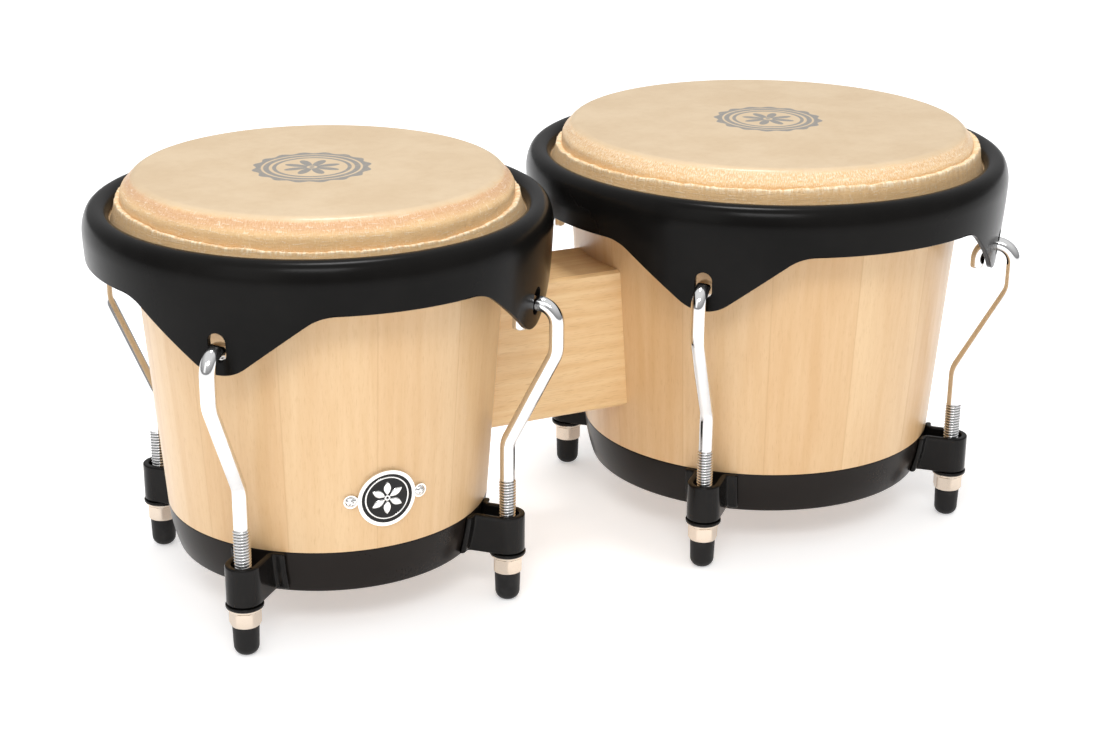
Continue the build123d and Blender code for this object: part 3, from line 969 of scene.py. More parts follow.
@dataclass
class Rim:
    """Rolled steel rim with four ears, each with a slot for a hook.

    Attributes:
        drum: the drum's plan.
        finish: what the rim wears.
        sheet: thickness of the steel.
        bead: radius of the rolled top.
        bead_start, bead_leave: angles where the roll starts inside and where it runs into the side.
        side: radius of the rounded side under the bead.
        skirt: height from the rim's top to its level lower edge.
        draw: how far the wall has drawn in at the ears' tips.
        ear_round: radius of an ear's tip, and of the hollow beside the ear.
        flank: slope of an ear's side, degrees from level.
        slot_width, slot_height, slot_margin: a slot's size, and its distance from the ear's tip.
        edge_round: rounding of the sheet's cut edges.
        columns, wall_rows: divisions of the full turn and of the wall.
        slot_rows, slot_columns: half of a slot's size in faces of the grid.
    """

    drum: DrumPlan
    finish: Finish
    sheet: float = 2.4
    bead: float = 5.0
    bead_start: float = 190.0
    bead_leave: float = 25.0
    side: float = 17.4
    skirt: float = 21.2
    draw: float = 2.9
    ear_round: float = 18.0
    flank: float = 37.2
    slot_width: float = 7.4
    slot_height: float = 11.9
    slot_margin: float = 5.8
    edge_round: float = 0.8
    columns: int = 560
    wall_rows: int = 30
    slot_rows: int = 4
    slot_columns: int = 3

    def lower_edge(self, across: Array) -> Array:
        """Height of the rim's lower edge at a distance to the side of an ear's middle.

        The edge is a round tip, a straight flank and a hollow that runs out into the level edge;
        the lowest of tip, flank and hollow is taken at each place.

        Args:
            across: distances to the side of the nearest ear's middle.

        Returns:
            The edge's heights.
        """
        tip = self.drum.ear_tip
        edge = self.drum.rim_top - self.skirt
        r = self.ear_round
        lean = math.radians(self.flank)
        y = np.abs(across)
        y_tip = r * math.sin(lean)
        apex = tip - r * (1 / math.cos(lean) - 1)
        hollow_z = edge - r
        hollow_y = (hollow_z - apex + r / math.cos(lean)) / math.tan(lean)
        y_hollow = hollow_y - r * math.sin(lean)
        round_tip = tip + r - np.sqrt(np.maximum(r * r - y * y, 0.0))
        flank = apex + y * math.tan(lean)
        hollow = hollow_z + np.sqrt(np.maximum(r * r - (y - hollow_y) ** 2, 0.0))
        level = np.where(y < hollow_y, hollow, edge)
        return np.where(y < y_tip, round_tip, np.where(y < y_hollow, flank, level))

    def slot_ray(self, across: Array, up: Array) -> Array:
        """Distance from the slot's middle to its outline along unit directions.

        The outline is two straight sides joined by half circles; a ray meets a side where it is
        flat enough, and otherwise the half circle about that end's centre.

        Args:
            across, up: the directions' parts to the side and upwards.

        Returns:
            The distances.
        """
        wide = self.slot_width / 2
        centre = self.slot_height / 2 - wide
        sideways = wide / np.maximum(np.abs(across), 1e-6)
        rise = np.abs(up)
        on_end = centre * rise + np.sqrt(np.maximum(wide**2 - centre**2 * (1 - rise**2), 0.0))
        return np.where(sideways * rise <= centre, sideways, on_end)

    def middle_surface(self) -> tuple[Array, Array]:
        """Half-way surface of the sheet, and which of its faces stay.

        Rows run over the rolled bead, down the side arc and down the wall to the lower edge;
        near each slot the grid is drawn onto the slot's outline and eases back to its own place.

        Returns:
            The grid of points about the drum's own axis, and the faces that stay.
        """
        d = self.drum
        half = self.sheet / 2
        bead_r = d.rim_radius - self.side + (self.side - self.bead) * math.cos(math.radians(self.bead_leave))
        bead_z = d.rim_top - self.bead
        side_r = d.rim_radius - self.side
        side_z = bead_z - (self.side - self.bead) * math.sin(math.radians(self.bead_leave))
        roll = np.radians(np.linspace(self.bead_start, self.bead_leave, 13))
        turn = np.radians(np.linspace(self.bead_leave, 0.0, 7))[1:]
        upper_r = np.concatenate(
            [bead_r + (self.bead - half) * np.cos(roll), side_r + (self.side - half) * np.cos(turn)]
        )
        upper_z = np.concatenate(
            [bead_z + (self.bead - half) * np.sin(roll), side_z + (self.side - half) * np.sin(turn)]
        )
        angle = np.arange(self.columns) * (2 * np.pi / self.columns)
        ear = angle % (np.pi / 2) - np.pi / 4
        across = d.rim_radius * np.sin(ear)
        share = np.linspace(0, 1, self.wall_rows + 1)[1:, None]
        low = self.lower_edge(across)
        wall_z = side_z - share * (side_z - low)
        wall_y = np.broadcast_to(across, wall_z.shape).copy()
        slot_z = d.ear_tip + self.slot_margin + self.slot_height / 2
        column = np.arange(self.columns) % (self.columns // 4) - self.columns // 8
        row_middle = round((side_z - slot_z) / (side_z - d.ear_tip) * self.wall_rows) - 1
        row = np.arange(self.wall_rows) - row_middle
        a = column[None, :] / self.slot_columns
        b = row[:, None] / self.slot_rows
        ring = np.maximum(np.abs(a), np.abs(b))
        to_y = wall_y
        to_z = wall_z - slot_z
        length = np.maximum(np.hypot(to_y, to_z), 1e-9)
        reach = self.slot_ray(to_y / length, to_z / length) * np.maximum(ring, 1.0)
        ease = smooth((ring - 1) / 1.4)
        wall_y = to_y * (ease + (1 - ease) * reach / length)
        wall_z = slot_z + to_z * (ease + (1 - ease) * reach / length)
        span = side_z - d.ear_tip
        wall_r = d.rim_radius - half - self.draw * (np.clip((side_z - wall_z) / span, 0, 1.2)) ** 1.4
        wall_turn = angle - ear + np.arcsin(np.clip(wall_y / d.rim_radius, -1, 1))
        radius = np.concatenate([np.broadcast_to(upper_r[:, None], (len(upper_r), self.columns)), wall_r])
        height = np.concatenate([np.broadcast_to(upper_z[:, None], (len(upper_z), self.columns)), wall_z])
        facing = np.concatenate([np.broadcast_to(angle, (len(upper_r), self.columns)), wall_turn])
        grid = np.stack([radius * np.cos(facing), radius * np.sin(facing), height], axis=-1)
        cell_column = np.abs(column + 0.5)
        cell_row = np.abs(row[:-1] + 0.5)
        inside = (cell_column[None, :] < self.slot_columns) & (cell_row[:, None] < self.slot_rows)
        keep = np.ones((len(radius) - 1, self.columns), bool)
        keep[len(upper_r) :] = ~inside
        return grid, keep

    def build(self) -> None:
        """Makes the rim, gives the sheet its thickness and rounds its cut edges."""
        grid, keep = self.middle_surface()
        name = f"rolled_rim_{self.drum.name}"
        piece = mesh_of(name, [Skin(self.drum.stand(grid)[::-1], keep=keep[::-1])], closed=False)
        thick = piece.modifiers.new("sheet", "SOLIDIFY")
        thick.thickness = self.sheet * MM
        thick.offset = 0.0
        thick.use_even_offset = True
        edge = piece.modifiers.new("cut_edges", "BEVEL")
        edge.width = self.edge_round * MM
        edge.segments = 3
        edge.limit_method = "ANGLE"
        edge.angle_limit = math.radians(50)
        edge.harden_normals = True
        settle(piece, self.finish, self.drum.rim_body, f"rim_{self.drum.name}")


@dataclass
class Head:
    """Rawhide head: playing surface, rounded shoulder, skirt, lap round the hoop and its cut end.

    Attributes:
        drum: the drum's plan.
        edge_drop: how far the skirt's top lies under the inside of the playing surface.
        slope_width: how far in from the skirt the playing surface starts to turn down.
        slope_drop: how far the shoulder's straight slope falls.
        seed: picks the waves, the fibres and the mottling.
        lap_height: mean height of the hide's cut edge.
        lap_tilt: how far the cut edge rises on its high side.
        lap_high: angle of that high side, degrees.
        lap_fray: size of the cut edge's fine waves.
        ledge: how far the cut edge stands out from the skirt.
        print_shift: how far the round print's middle is from the drum's axis, right and back.
        flushed: how reddish the shoulder is, from 0 to 1.
        fuzzy: how much pale nap the shoulder has, from 0 to 1.
        skin: the hide's thickness.
        skirt_gap: room between the wood and the skirt.
        lap_wire: outside radius of the lap about the hoop's middle.
        crown_round, shoulder_round: radii at the two ends of the shoulder's slope.
        lap_turn: where the lap's arc about the hoop starts and ends, degrees.
        spacing: distance between the rows of the skirt.
        columns: divisions of the full turn.
    """

    drum: DrumPlan
    edge_drop: float
    slope_width: float
    slope_drop: float
    seed: int
    lap_height: float
    lap_tilt: float
    lap_high: float
    lap_fray: float
    ledge: float
    print_shift: tuple[float, float]
    flushed: float
    fuzzy: float
    skin: float = 1.5
    skirt_gap: float = 0.4
    lap_wire: float = 5.9
    crown_round: float = 4.5
    shoulder_round: float = 4.0
    lap_turn: tuple[float, float] = (112.0, -220.0)
    spacing: float = 0.7
    columns: int = 540

    @property
    def shoulder(self) -> float:
        """Height where the skirt starts."""
        return self.drum.head_top - self.skin - self.edge_drop

    @property
    def wall(self) -> float:
        """Outside radius of the skirt's top."""
        return self.drum.shell_radius(self.shoulder) + self.skirt_gap + self.skin

    @property
    def crown(self) -> float:
        """Radius where the playing surface starts to turn down."""
        return self.wall - self.slope_width

    @property
    def finish(self) -> Rawhide:
        """The hide's finish, with its zones at this head's heights."""
        marks = (self.print_shift, self.flushed, self.fuzzy)
        return Rawhide("rawhide", self.drum.name, self.drum.head_top, self.wall, float(self.seed), *marks)

    def outer_line(self) -> Array:
        """Cut through the outside of the hide, from the middle out, down and round the hoop.

        The playing surface is level; the shoulder is a straight slope, rounded at both its ends; the
        skirt is straight; and the lap is an arc about the hoop, closed underneath.

        Returns:
            Radius and height, one row per point.
        """
        d = self.drum
        start = self.crown - 4.0
        flat = np.linspace(4.0, start, 24)[:-1]
        top = np.stack([flat, np.full_like(flat, d.head_top)], axis=1)
        lap_side = d.hoop_radius - math.sqrt(self.lap_wire**2 - (self.lap_wire * 0.37) ** 2) + self.skin
        corners = np.array(
            [
                [start, d.head_top],
                [self.crown, d.head_top],
                [self.wall + 0.1, d.head_top - self.slope_drop],
                [lap_side, d.hoop_height + self.lap_wire * 0.72],
            ]
        )
        radii = [0.0, self.crown_round, self.shoulder_round, 0.0]
        skirt = along(rounded(corners, radii, 12, closed=False), self.spacing)
        turn = np.radians(np.linspace(*self.lap_turn, 44))
        lap_r = d.hoop_radius + self.lap_wire * np.cos(turn)
        lap_z = d.hoop_height + self.lap_wire * np.sin(turn)
        return np.concatenate([top, skirt, np.stack([lap_r, lap_z], axis=1)])

    def inner_line(self) -> Array:
        """The hide's inside, from the skirt up and back to the middle."""
        under = self.drum.head_top - self.skin
        inner = np.array([[self.wall - self.skin, self.shoulder], [self.crown, under], [4.0, under]])
        return along(inner, 3.0)

    def hide(self) -> Skin:
        """The hide as a closed surface, drawn up unevenly: low waves on the skirt and the lap.

        Returns:
            The surface, about the drum's own axis.
        """
        outside, inside = self.outer_line(), self.inner_line()
        grid = spun(np.concatenate([outside, inside]), self.columns)
        angle = np.arctan2(grid[..., 1], grid[..., 0])
        drop = self.drum.head_top - grid[..., 2]
        lower = smooth((drop - 2.0) / 8.0) * (np.arange(len(grid))[:, None] < len(outside))
        wave = ripple(angle, self.seed, (3, 5, 8, 13, 21)) * 0.22
        wave += ripple(angle, self.seed + 1, (34, 47, 61, 80)) * 0.10
        pucker = ripple(angle + drop * 0.006, self.seed + 2, (90, 118, 141)) * 0.07
        push = 1 + lower * (wave + pucker) / np.maximum(np.hypot(grid[..., 0], grid[..., 1]), 1.0)
        grid[..., :2] *= push[..., None]
        return Skin(grid, poles=True)

    def cut_height(self, angle: Array) -> Array:
        """Height of the hide's cut edge round the turn.

        The edge is higher on one side of the drum; seeded waves add the way it was cut and its
        fibres.

        Args:
            angle: angles round the turn, radians.

        Returns:
            The heights.
        """
        cut = self.lap_tilt * np.cos(angle - math.radians(self.lap_high))
        cut = cut + ripple(angle, self.seed + 7, (2, 3, 5, 9)) * 0.4
        cut += ripple(angle, self.seed + 8, (17, 29, 43, 66)) * self.lap_fray
        cut += ripple(angle, self.seed + 9, (111, 157, 193, 240)) * self.lap_fray * 0.6
        return self.lap_height + cut

    def lap_end(self) -> tuple[Skin, Array]:
        """The hide's free end: sheet that comes off the lapped hoop and leans out to its cut edge.

        Its outside runs straight from the hoop's top to the edge, bowed in by a little; the edge is
        rounded, and the rest is filled in against the skirt.

        Returns:
            The surface, and how near each point is to the cut edge, from 0 to 1.
        """
        d = self.drum
        angle = np.arange(self.columns * 2) * (np.pi / self.columns)
        top = self.cut_height(angle)
        lip = self.wall + self.ledge + ripple(angle, self.seed + 10, (7, 19, 37, 71, 133)) * 0.24
        foot_r = d.hoop_radius + 0.3
        foot_z = d.hoop_height + self.lap_wire - 0.15
        share = np.array([0.05, 0.10, 0.17, 0.26, 0.38, 0.52, 0.68, 0.85, 1.0])[:, None]
        outer_r = lip + (foot_r - lip) * share - 0.3 * np.sin(np.pi * share)
        outer_z = top + (foot_z - top) * share
        inside = np.full_like(angle, self.wall - 0.8)
        rim_r = [inside, (inside + lip) / 2, lip - 0.55, lip - 0.2]
        rim_z = [top - 0.9, top - 0.3, top - 0.05, top - 0.12]
        radius = np.stack([*rim_r, *outer_r, inside])
        height = np.stack([*rim_z, *outer_z, np.full_like(angle, foot_z)])
        near = np.array([0.4, 0.8, 1.0, 1.0, 0.9, 0.55, 0.2, *([0.0] * 7)])
        grid = np.stack([radius * np.cos(angle), radius * np.sin(angle), height], axis=-1)
        return Skin(grid, rows_close=True), np.repeat(near, len(angle))

    def fibres(self, count: int, length: float) -> list[Skin]:
        """Short loose fibres along the frayed edge: thin three-sided slivers that curl outwards.

        Each sliver's middle line rises, leans and bends by seeded amounts; all slivers are worked
        out together as one array.

        Args:
            count: how many fibres.
            length: the longest one's length.

        Returns:
            One surface for each.
        """
        dice = np.random.default_rng(self.seed + 20)
        angle = dice.uniform(0, 2 * np.pi, count)[:, None, None]
        size = dice.uniform(0.3, 1.0, count)[:, None, None] ** 2 * length
        lean = dice.normal(0, 0.8, count)[:, None, None]
        out = dice.uniform(-0.3, 0.6, count)[:, None, None]
        share = np.linspace(0, 1, 5)[None, :, None]
        side = (np.arange(3) * (2 * np.pi / 3))[None, None, :]
        wide = 0.16 * (1 - share * 0.85)
        base = self.cut_height(angle) - 0.5
        start = self.wall + self.ledge - dice.uniform(0.3, 0.9, count)[:, None, None]
        radius = start + out * share * size * 0.5 + wide * np.cos(side)
        height = base + size * (share - 0.35 * share**2) + wide * 0.3 * np.sin(side)
        turn = angle + (lean * size * share**1.5 + wide * np.sin(side)) / self.wall
        grid = np.stack([radius * np.cos(turn), radius * np.sin(turn), height + 0 * turn], axis=-1)
        return [Skin(sliver, poles=True) for sliver in grid]

    def build(self) -> None:
        """Makes the hide and its cut end."""
        d = self.drum
        end, near = self.lap_end()
        loose = self.fibres(count=520, length=2.2)
        near = np.concatenate([near, np.ones(sum(len(skin.points()) for skin in loose))])
        hide = self.hide()
        parts = {
            f"hide_{d.name}": ([hide], np.zeros(len(hide.points())), (f"head_skin_{d.name}",)),
            f"hide_lap_{d.name}": ([end, *loose], near, ()),
        }
        for name, (skins, edge, nodes) in parts.items():
            local = np.concatenate([skin.points() for skin in skins])
            for skin in skins:
                skin.grid = d.stand(skin.grid)
            piece = mesh_of(name, skins, crease=70.0)
            carried = piece.data.attributes.new("hide_place", "FLOAT_VECTOR", "POINT")
            carried.data.foreach_set("vector", local.astype(np.float32).ravel())
            frayed = piece.data.attributes.new("cut_edge", "FLOAT", "POINT")
            frayed.data.foreach_set("value", edge.astype(np.float32))
            settle(piece, self.finish, None, *nodes)
            start = (d.axis * MM, 0.0, self.shoulder * MM)
            end = (d.axis * MM, 0.0, (d.hoop_height + self.lap_wire) * MM)
            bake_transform(piece)


@dataclass
class Rod:
    """Chromed hook rod: a hook over the ear, two bends in towards the shell and a rolled thread.

    Attributes:
        drum: the drum's plan.
        finish: what the rod wears.
        hook_gap: room between the rim's side and the hook.
        wire: radius of the rod.
        hook_bend: radius of the hook's two bends.
        tail: straight end of the hook, inside the rim.
        elbow: radius of the two bends below the hook.
        upper_leg: straight fall from the hook to the first of those bends.
        lower_leg, thread_leg: heights over the lug of the second bend and of the thread's start.
        crest, root, pitch: the thread's radii and rise for each turn.
        sides, per_turn: divisions of the rod's circle, and rows for each turn of thread.
    """

    drum: DrumPlan
    finish: Finish
    hook_gap: float
    wire: float = 3.175
    hook_bend: float = 7.95
    tail: float = 4.5
    elbow: float = 12.0
    upper_leg: float = 20.6
    lower_leg: float = 32.3
    thread_leg: float = 15.8
    crest: float = 3.57
    root: float = 2.82
    pitch: float = 1.3
    sides: int = 28
    per_turn: int = 8

    def line(self) -> Array:
        """Middle line of the rod as (distance from the drum's axis, height), hook end first.

        Returns:
            One row per point.
        """
        d = self.drum
        outer = d.rim_radius + self.hook_gap + self.wire
        inner = outer - 2 * self.hook_bend - 0.1
        bend_z = d.hook_top - self.wire
        corners = np.array(
            [
                [inner, bend_z - self.hook_bend - self.tail],
                [inner, bend_z],
                [outer, bend_z],
                [outer, bend_z - self.upper_leg],
                [d.rod_radius, d.lug_top + self.lower_leg],
                [d.rod_radius, d.lug_top + self.thread_leg],
            ]
        )
        radii = [0.0, self.hook_bend, self.hook_bend, self.elbow, self.elbow, 0.0]
        return along(rounded(corners, radii, 14, closed=False), 0.9)

    def skin(self) -> tuple[Skin, Array]:
        """The rod's surface, and how deep in the thread each of its points lies, from 0 to 1.

        Each point of the middle line carries a circle across its direction. On the threaded end
        the circle's radius swings between root and crest as height over pitch, less the share of a
        turn, goes through whole numbers, which winds a right-hand thread; it fades out at both ends.

        Returns:
            The surface, and one depth for each of its points and poles.
        """
        d = self.drum
        bent = self.line()
        top = d.lug_top + self.thread_leg
        count = int(round((top - d.rod_end) / self.pitch * self.per_turn))
        height = np.linspace(top, d.rod_end, count + 1)[1:]
        line = np.concatenate([bent, np.stack([np.full(count, d.rod_radius), height], axis=1)])
        toward = np.gradient(line, axis=0)
        toward /= np.linalg.norm(toward, axis=1, keepdims=True)
        side = np.stack([-toward[:, 1], toward[:, 0]], axis=1)
        turn = np.arange(self.sides) * (2 * np.pi / self.sides)
        level = line[:, 1:2]
        phase = level / self.pitch - turn / (2 * np.pi)
        swing = np.abs((phase % 1.0) * 2 - 1)
        profile = smooth(swing * 1.5 - 0.25)
        thread = self.root + (self.crest - self.root) * profile
        on = smooth((top - level) / (1.2 * self.pitch)) * (np.arange(len(line))[:, None] >= len(bent))
        radius = self.wire + (thread - self.wire) * on
        from_end = level - d.rod_end
        radius = np.where(on > 0, radius * (0.8 + 0.2 * smooth(from_end / 1.0)), radius)
        step = np.concatenate([[0.0], np.cumsum(np.linalg.norm(np.diff(line, axis=0), axis=1))])
        radius = radius * np.sqrt(1 - (1 - np.clip((step[:, None] + 0.12) / 1.3, 0, 1)) ** 2)
        groove = smooth((1 - profile) * 1.6 - 0.5) * on
        out = line[:, :1] + radius * np.cos(turn) * side[:, :1]
        up = line[:, 1:] + radius * np.cos(turn) * side[:, 1:]
        across = radius * np.sin(turn)
        grooves = np.concatenate([np.broadcast_to(groove, out.shape).ravel(), [0.0, 0.0]])
        return Skin(np.stack([out, across, up], axis=-1), poles=True), grooves

    def build(self) -> None:
        """Makes the drum's four rods."""
        skin, grooves = self.skin()
        for corner in Corner:
            name = f"hook_rod_{self.drum.name}_{corner.name}"
            grid = self.drum.stand(skin.grid, corner.value)
            piece = mesh_of(f"chromed_{name}", [Skin(grid, poles=True)], crease=60.0)
            # the groove depths drive the painted shade in the thread's grooves
            carried = piece.data.attributes.new("groove", "FLOAT", "POINT")
            carried.data.foreach_set("value", grooves.astype(np.float32))
            settle(piece, self.finish, self.drum.rim_body, name)


@dataclass
class Lug:
    """Strap bent round a rod, its two ends spread along the band as flanges.

    Attributes:
        drum: the drum's plan.
        finish: what the lug wears.
        strap: outside radius of the loop.
        sheet: thickness of the strap.
        reach: how far each flange spreads to the side.
        root_round: radius where the loop turns into a flange.
        edge_round: rounding of the strap's edges.
        tuck: how far the band draws in from its top to its bottom.
    """

    drum: DrumPlan
    finish: Finish
    strap: float = 7.5
    sheet: float = 2.7
    reach: float = 12.0
    root_round: float = 2.6
    edge_round: float = 0.75
    tuck: float = 4.0

    def tucked(self, height: Array) -> Array:
        """How far the band's outside has drawn in at a height below its top: a parabola in height.

        Args:
            height: the heights.

        Returns:
            The distances.
        """
        d = self.drum
        share = np.clip((d.band_top - height) / (d.band_top - d.band_bottom), 0, 1)
        return self.tuck * (0.35 * share + 0.65 * share**2)

    def skin(self) -> Skin:
        """The strap's surface.

        A rounded upright rectangle is carried along the plan line flange, root, loop, root, flange;
        near the drum it is drawn in with the band's tuck, and the rectangle narrows to nothing
        over its last bit of each flange to round the ends.

        Returns:
            The surface, with X away from the drum's axis.
        """
        d = self.drum
        half = self.sheet / 2
        loop = self.strap - half
        seat = d.band_radius + half
        root_x = math.sqrt(seat**2 - loop**2)
        end_x = math.sqrt(seat**2 - self.reach**2)
        corners = np.array([[end_x, -self.reach], [root_x, -loop], [d.rod_radius, -loop]])
        leg = rounded(corners, [0.0, self.root_round, 0.0], 8, closed=False)
        turn = np.radians(np.linspace(-90, 90, 25))[1:-1]
        bow = np.stack([d.rod_radius + loop * np.cos(turn), loop * np.sin(turn)], axis=1)
        plan = along(np.concatenate([leg, bow, leg[::-1] * [1, -1]]), 0.7)
        toward = np.gradient(plan, axis=0)
        toward /= np.linalg.norm(toward, axis=1, keepdims=True)
        out = np.stack([toward[:, 1], -toward[:, 0]], axis=1)
        step = np.concatenate([[0.0], np.cumsum(np.linalg.norm(np.diff(plan, axis=0), axis=1))])
        from_end = np.minimum(step, step[-1] - step)
        narrow = np.sqrt(1 - (1 - np.clip((from_end + 0.1) / half, 0, 1)) ** 2)
        tall = (d.lug_top - d.lug_bottom) / 2
        box = np.array([[-half, -tall], [half, -tall], [half, tall], [-half, tall]])
        rect = rounded(box, [self.edge_round] * 4, 4)
        side_steps = np.linspace(-tall + 2, tall - 2, 7)
        right = np.stack([np.full(7, half), side_steps], axis=1)
        left = np.stack([np.full(7, -half), side_steps[::-1]], axis=1)
        section = np.concatenate([rect[:10], right, rect[10:], left])
        u = section[None, :, 0] * narrow[:, None]
        v = section[None, :, 1] * (1 - (1 - narrow[:, None]) * 0.05)
        height = v + (d.lug_top + d.lug_bottom) / 2
        x = plan[:, :1] + out[:, :1] * u
        y = plan[:, 1:] + out[:, 1:] * u
        hold = smooth((d.rod_radius - plan[:, :1]) / (d.rod_radius - root_x))
        x = x - hold * self.tucked(height)
        return Skin(np.stack([x, y, height], axis=-1), poles=True)

    def build(self) -> None:
        """Makes the drum's four lugs."""
        skin = self.skin()
        for corner in Corner:
            name = f"lug_{self.drum.name}_{corner.name}"
            grid = self.drum.stand(skin.grid, corner.value)
            piece = mesh_of(f"strap_{name}", [Skin(grid, poles=True)], crease=60.0)
            settle(piece, self.finish, "shells", name)


@dataclass
class Band:
    """Pressed steel band round the shell's foot, with its lip turned in under the wood.

    Attributes:
        drum: the drum's plan.
        finish: what the band wears.
        sheet: thickness of the steel.
        lip: width of the lip.
        tuck: how far the band draws in from its top to its bottom.
    """

    drum: DrumPlan
    finish: Finish
    sheet: float = 1.6
    lip: float = 5.6
    tuck: float = 4.0

    def skin(self) -> Skin:
        """Closed cut of the sheet spun round the axis; the outside draws in along a parabola.

        Returns:
            The surface, at the drum's place.
        """
        d = self.drum
        share = np.linspace(0, 1, 15)
        height = d.band_top - share * (d.band_top - d.band_bottom)
        outside = d.band_radius - self.tuck * (0.28 * share + 0.72 * share**2)
        bottom = outside[-1]
        out = np.stack([outside, height], axis=1)[1:-1]
        corners = np.array(
            [
                [d.band_radius - self.sheet, d.band_top],
                [d.band_radius, d.band_top],
                *out,
                [bottom, d.band_bottom],
                [bottom - self.lip, d.band_bottom],
                [bottom - self.lip, d.band_bottom + self.sheet],
                [bottom - self.sheet, d.band_bottom + self.sheet],
                *(out[::-1] - [self.sheet, 0.0]),
            ]
        )
        radii = [0.2, 0.55, *([0.0] * len(out)), 1.3, 0.3, 0.3, 0.2, *([0.0] * len(out))]
        return Skin(self.drum.stand(spun(rounded(corners, radii, 4), 288)), rows_close=True)

    def build(self) -> None:
        """Makes the band."""
        name = f"bottom_band_{self.drum.name}"
        piece = mesh_of(f"pressed_{name}", [self.skin()], crease=60.0)
        settle(piece, self.finish, "shells", name)


@dataclass
class NutAndFoot:
    """Flanged hexagon nut with its washer above and the rubber foot pressed on its collar.

    Attributes:
        drum: the drum's plan.
        metal, rubber, black: what the nut, the foot and the washer wear.
        bore: radius of the hole through nut and foot.
        flange, flange_edge, flange_height: the flange's radius, rim and height to the hexagon.
        washer, washer_bore, washer_sheet: the washer's radii and thickness.
        across: width over two opposite flats of the hexagon.
        facing: where one flat looks, degrees from straight out of the drum.
        corner_round: how much of each corner of the hexagon is taken off.
        collar: radius of the collar under the hexagon.
        foot, foot_round: the foot's radius and the rounding of its end.
        sides: divisions of the full turn.
    """

    drum: DrumPlan
    metal: Finish
    rubber: Finish
    black: Finish
    bore: float = 3.65
    flange: float = 7.4
    flange_edge: float = 0.9
    flange_height: float = 1.8
    washer: float = 7.9
    washer_bore: float = 3.965
    washer_sheet: float = 1.4
    across: float = 11.9
    facing: float = 23.0
    corner_round: float = 0.5
    collar: float = 4.9
    foot: float = 5.55
    foot_round: float = 4.0
    sides: int = 96

    def nut(self) -> Skin:
        """The nut's closed surface.

        Each level of the cut has a circle's radius, or a hexagon's: half the width across flats
        over the cosine of the angle from the nearest flat's middle, held under a limit that grows
        with height to chamfer the corners.

        Returns:
            The surface, with X away from the drum's axis.
        """
        d = self.drum
        hex_top = d.nut_top - self.flange_height
        hex_low = d.foot_top
        point = self.across / math.sqrt(3)
        flat = self.across / 2
        rows = [
            (self.bore, d.nut_top, 0.0, 0.0),
            (self.bore + 0.3, d.nut_top, 0.0, 0.0),
            (self.flange - 0.35, d.nut_top, 0.0, 0.0),
            (self.flange - 0.1, d.nut_top - 0.1, 0.0, 0.0),
            (self.flange, d.nut_top - 0.35, 0.0, 0.0),
            (self.flange, d.nut_top - self.flange_edge + 0.25, 0.0, 0.0),
            (self.flange - 0.12, d.nut_top - self.flange_edge, 0.0, 0.0),
            (flat + 0.9, hex_top + 0.25, 0.5, point),
            (flat + 0.2, hex_top - 0.1, 1.0, point - 0.1),
            (flat, hex_top - 0.5, 1.0, point),
            (flat, hex_low + 1.2, 1.0, point),
            (flat, hex_low + 0.9, 1.0, point - 0.12),
            (flat, hex_low + 0.12, 1.0, flat + 0.25),
            (flat, hex_low, 1.0, flat + 0.02),
            (self.collar, hex_low - 0.02, 0.0, 0.0),
            (self.collar, d.nut_bottom, 0.0, 0.0),
            (self.bore, d.nut_bottom, 0.0, 0.0),
        ]
        table = np.array(rows)
        turn = np.arange(self.sides) * (2 * np.pi / self.sides)
        from_flat = (turn - math.radians(self.facing) + np.pi / 6) % (np.pi / 3) - np.pi / 6
        hexagon = flat / np.cos(from_flat)
        hexagon = np.minimum(hexagon, point - self.corner_round * 0.35)
        held = np.minimum(hexagon[None, :], table[:, 3:4])
        share = table[:, 2:3]
        radius = table[:, :1] * (1 - share) + np.maximum(held, 1e-3) * share
        grid = np.stack(
            [radius * np.cos(turn), radius * np.sin(turn), np.broadcast_to(table[:, 1:2], radius.shape)], -1
        )
        return Skin(grid + [d.rod_radius, 0, 0], rows_close=True)

    def boot(self) -> Skin:
        """The foot: a thimble with a thick rounded end, a beaded mouth and a slight taper.

        Returns:
            The surface, with X away from the drum's axis.
        """
        d = self.drum
        turn = np.linspace(-np.pi / 2, 0, 12)
        centre = self.foot - 0.25 - self.foot_round
        dome = np.stack(
            [centre + self.foot_round * np.cos(turn), self.foot_round + self.foot_round * np.sin(turn)], 1
        )
        mouth = rounded(
            np.array([[self.foot, d.foot_top - 1.6], [self.foot, d.foot_top], [self.collar, d.foot_top]]),
            [0.0, 0.45, 0.0],
            5,
            closed=False,
        )
        inside = np.array([[self.collar - 0.01, d.nut_bottom], [self.bore, d.nut_bottom], [self.bore, 2.0]])
        line = np.concatenate([[[0.6, 0.0]], dome, mouth, inside, [[0.6, 2.0]]])
        return Skin(spun(line, 64) + [d.rod_radius, 0, 0], poles=True)

    def ring(self) -> Skin:
        """The flat washer on the nut's flange: a rounded rectangle spun round the rod.

        Returns:
            The surface, with X away from the drum's axis.
        """
        low = self.drum.nut_top
        high = low + self.washer_sheet
        wide, near = self.washer, self.washer_bore
        corners = np.array([[near, low], [wide, low], [wide, high], [near, high]])
        line = rounded(corners, [0.15, 0.35, 0.35, 0.15], 4)
        return Skin(spun(line, 72) + [self.drum.rod_radius, 0, 0], rows_close=True)

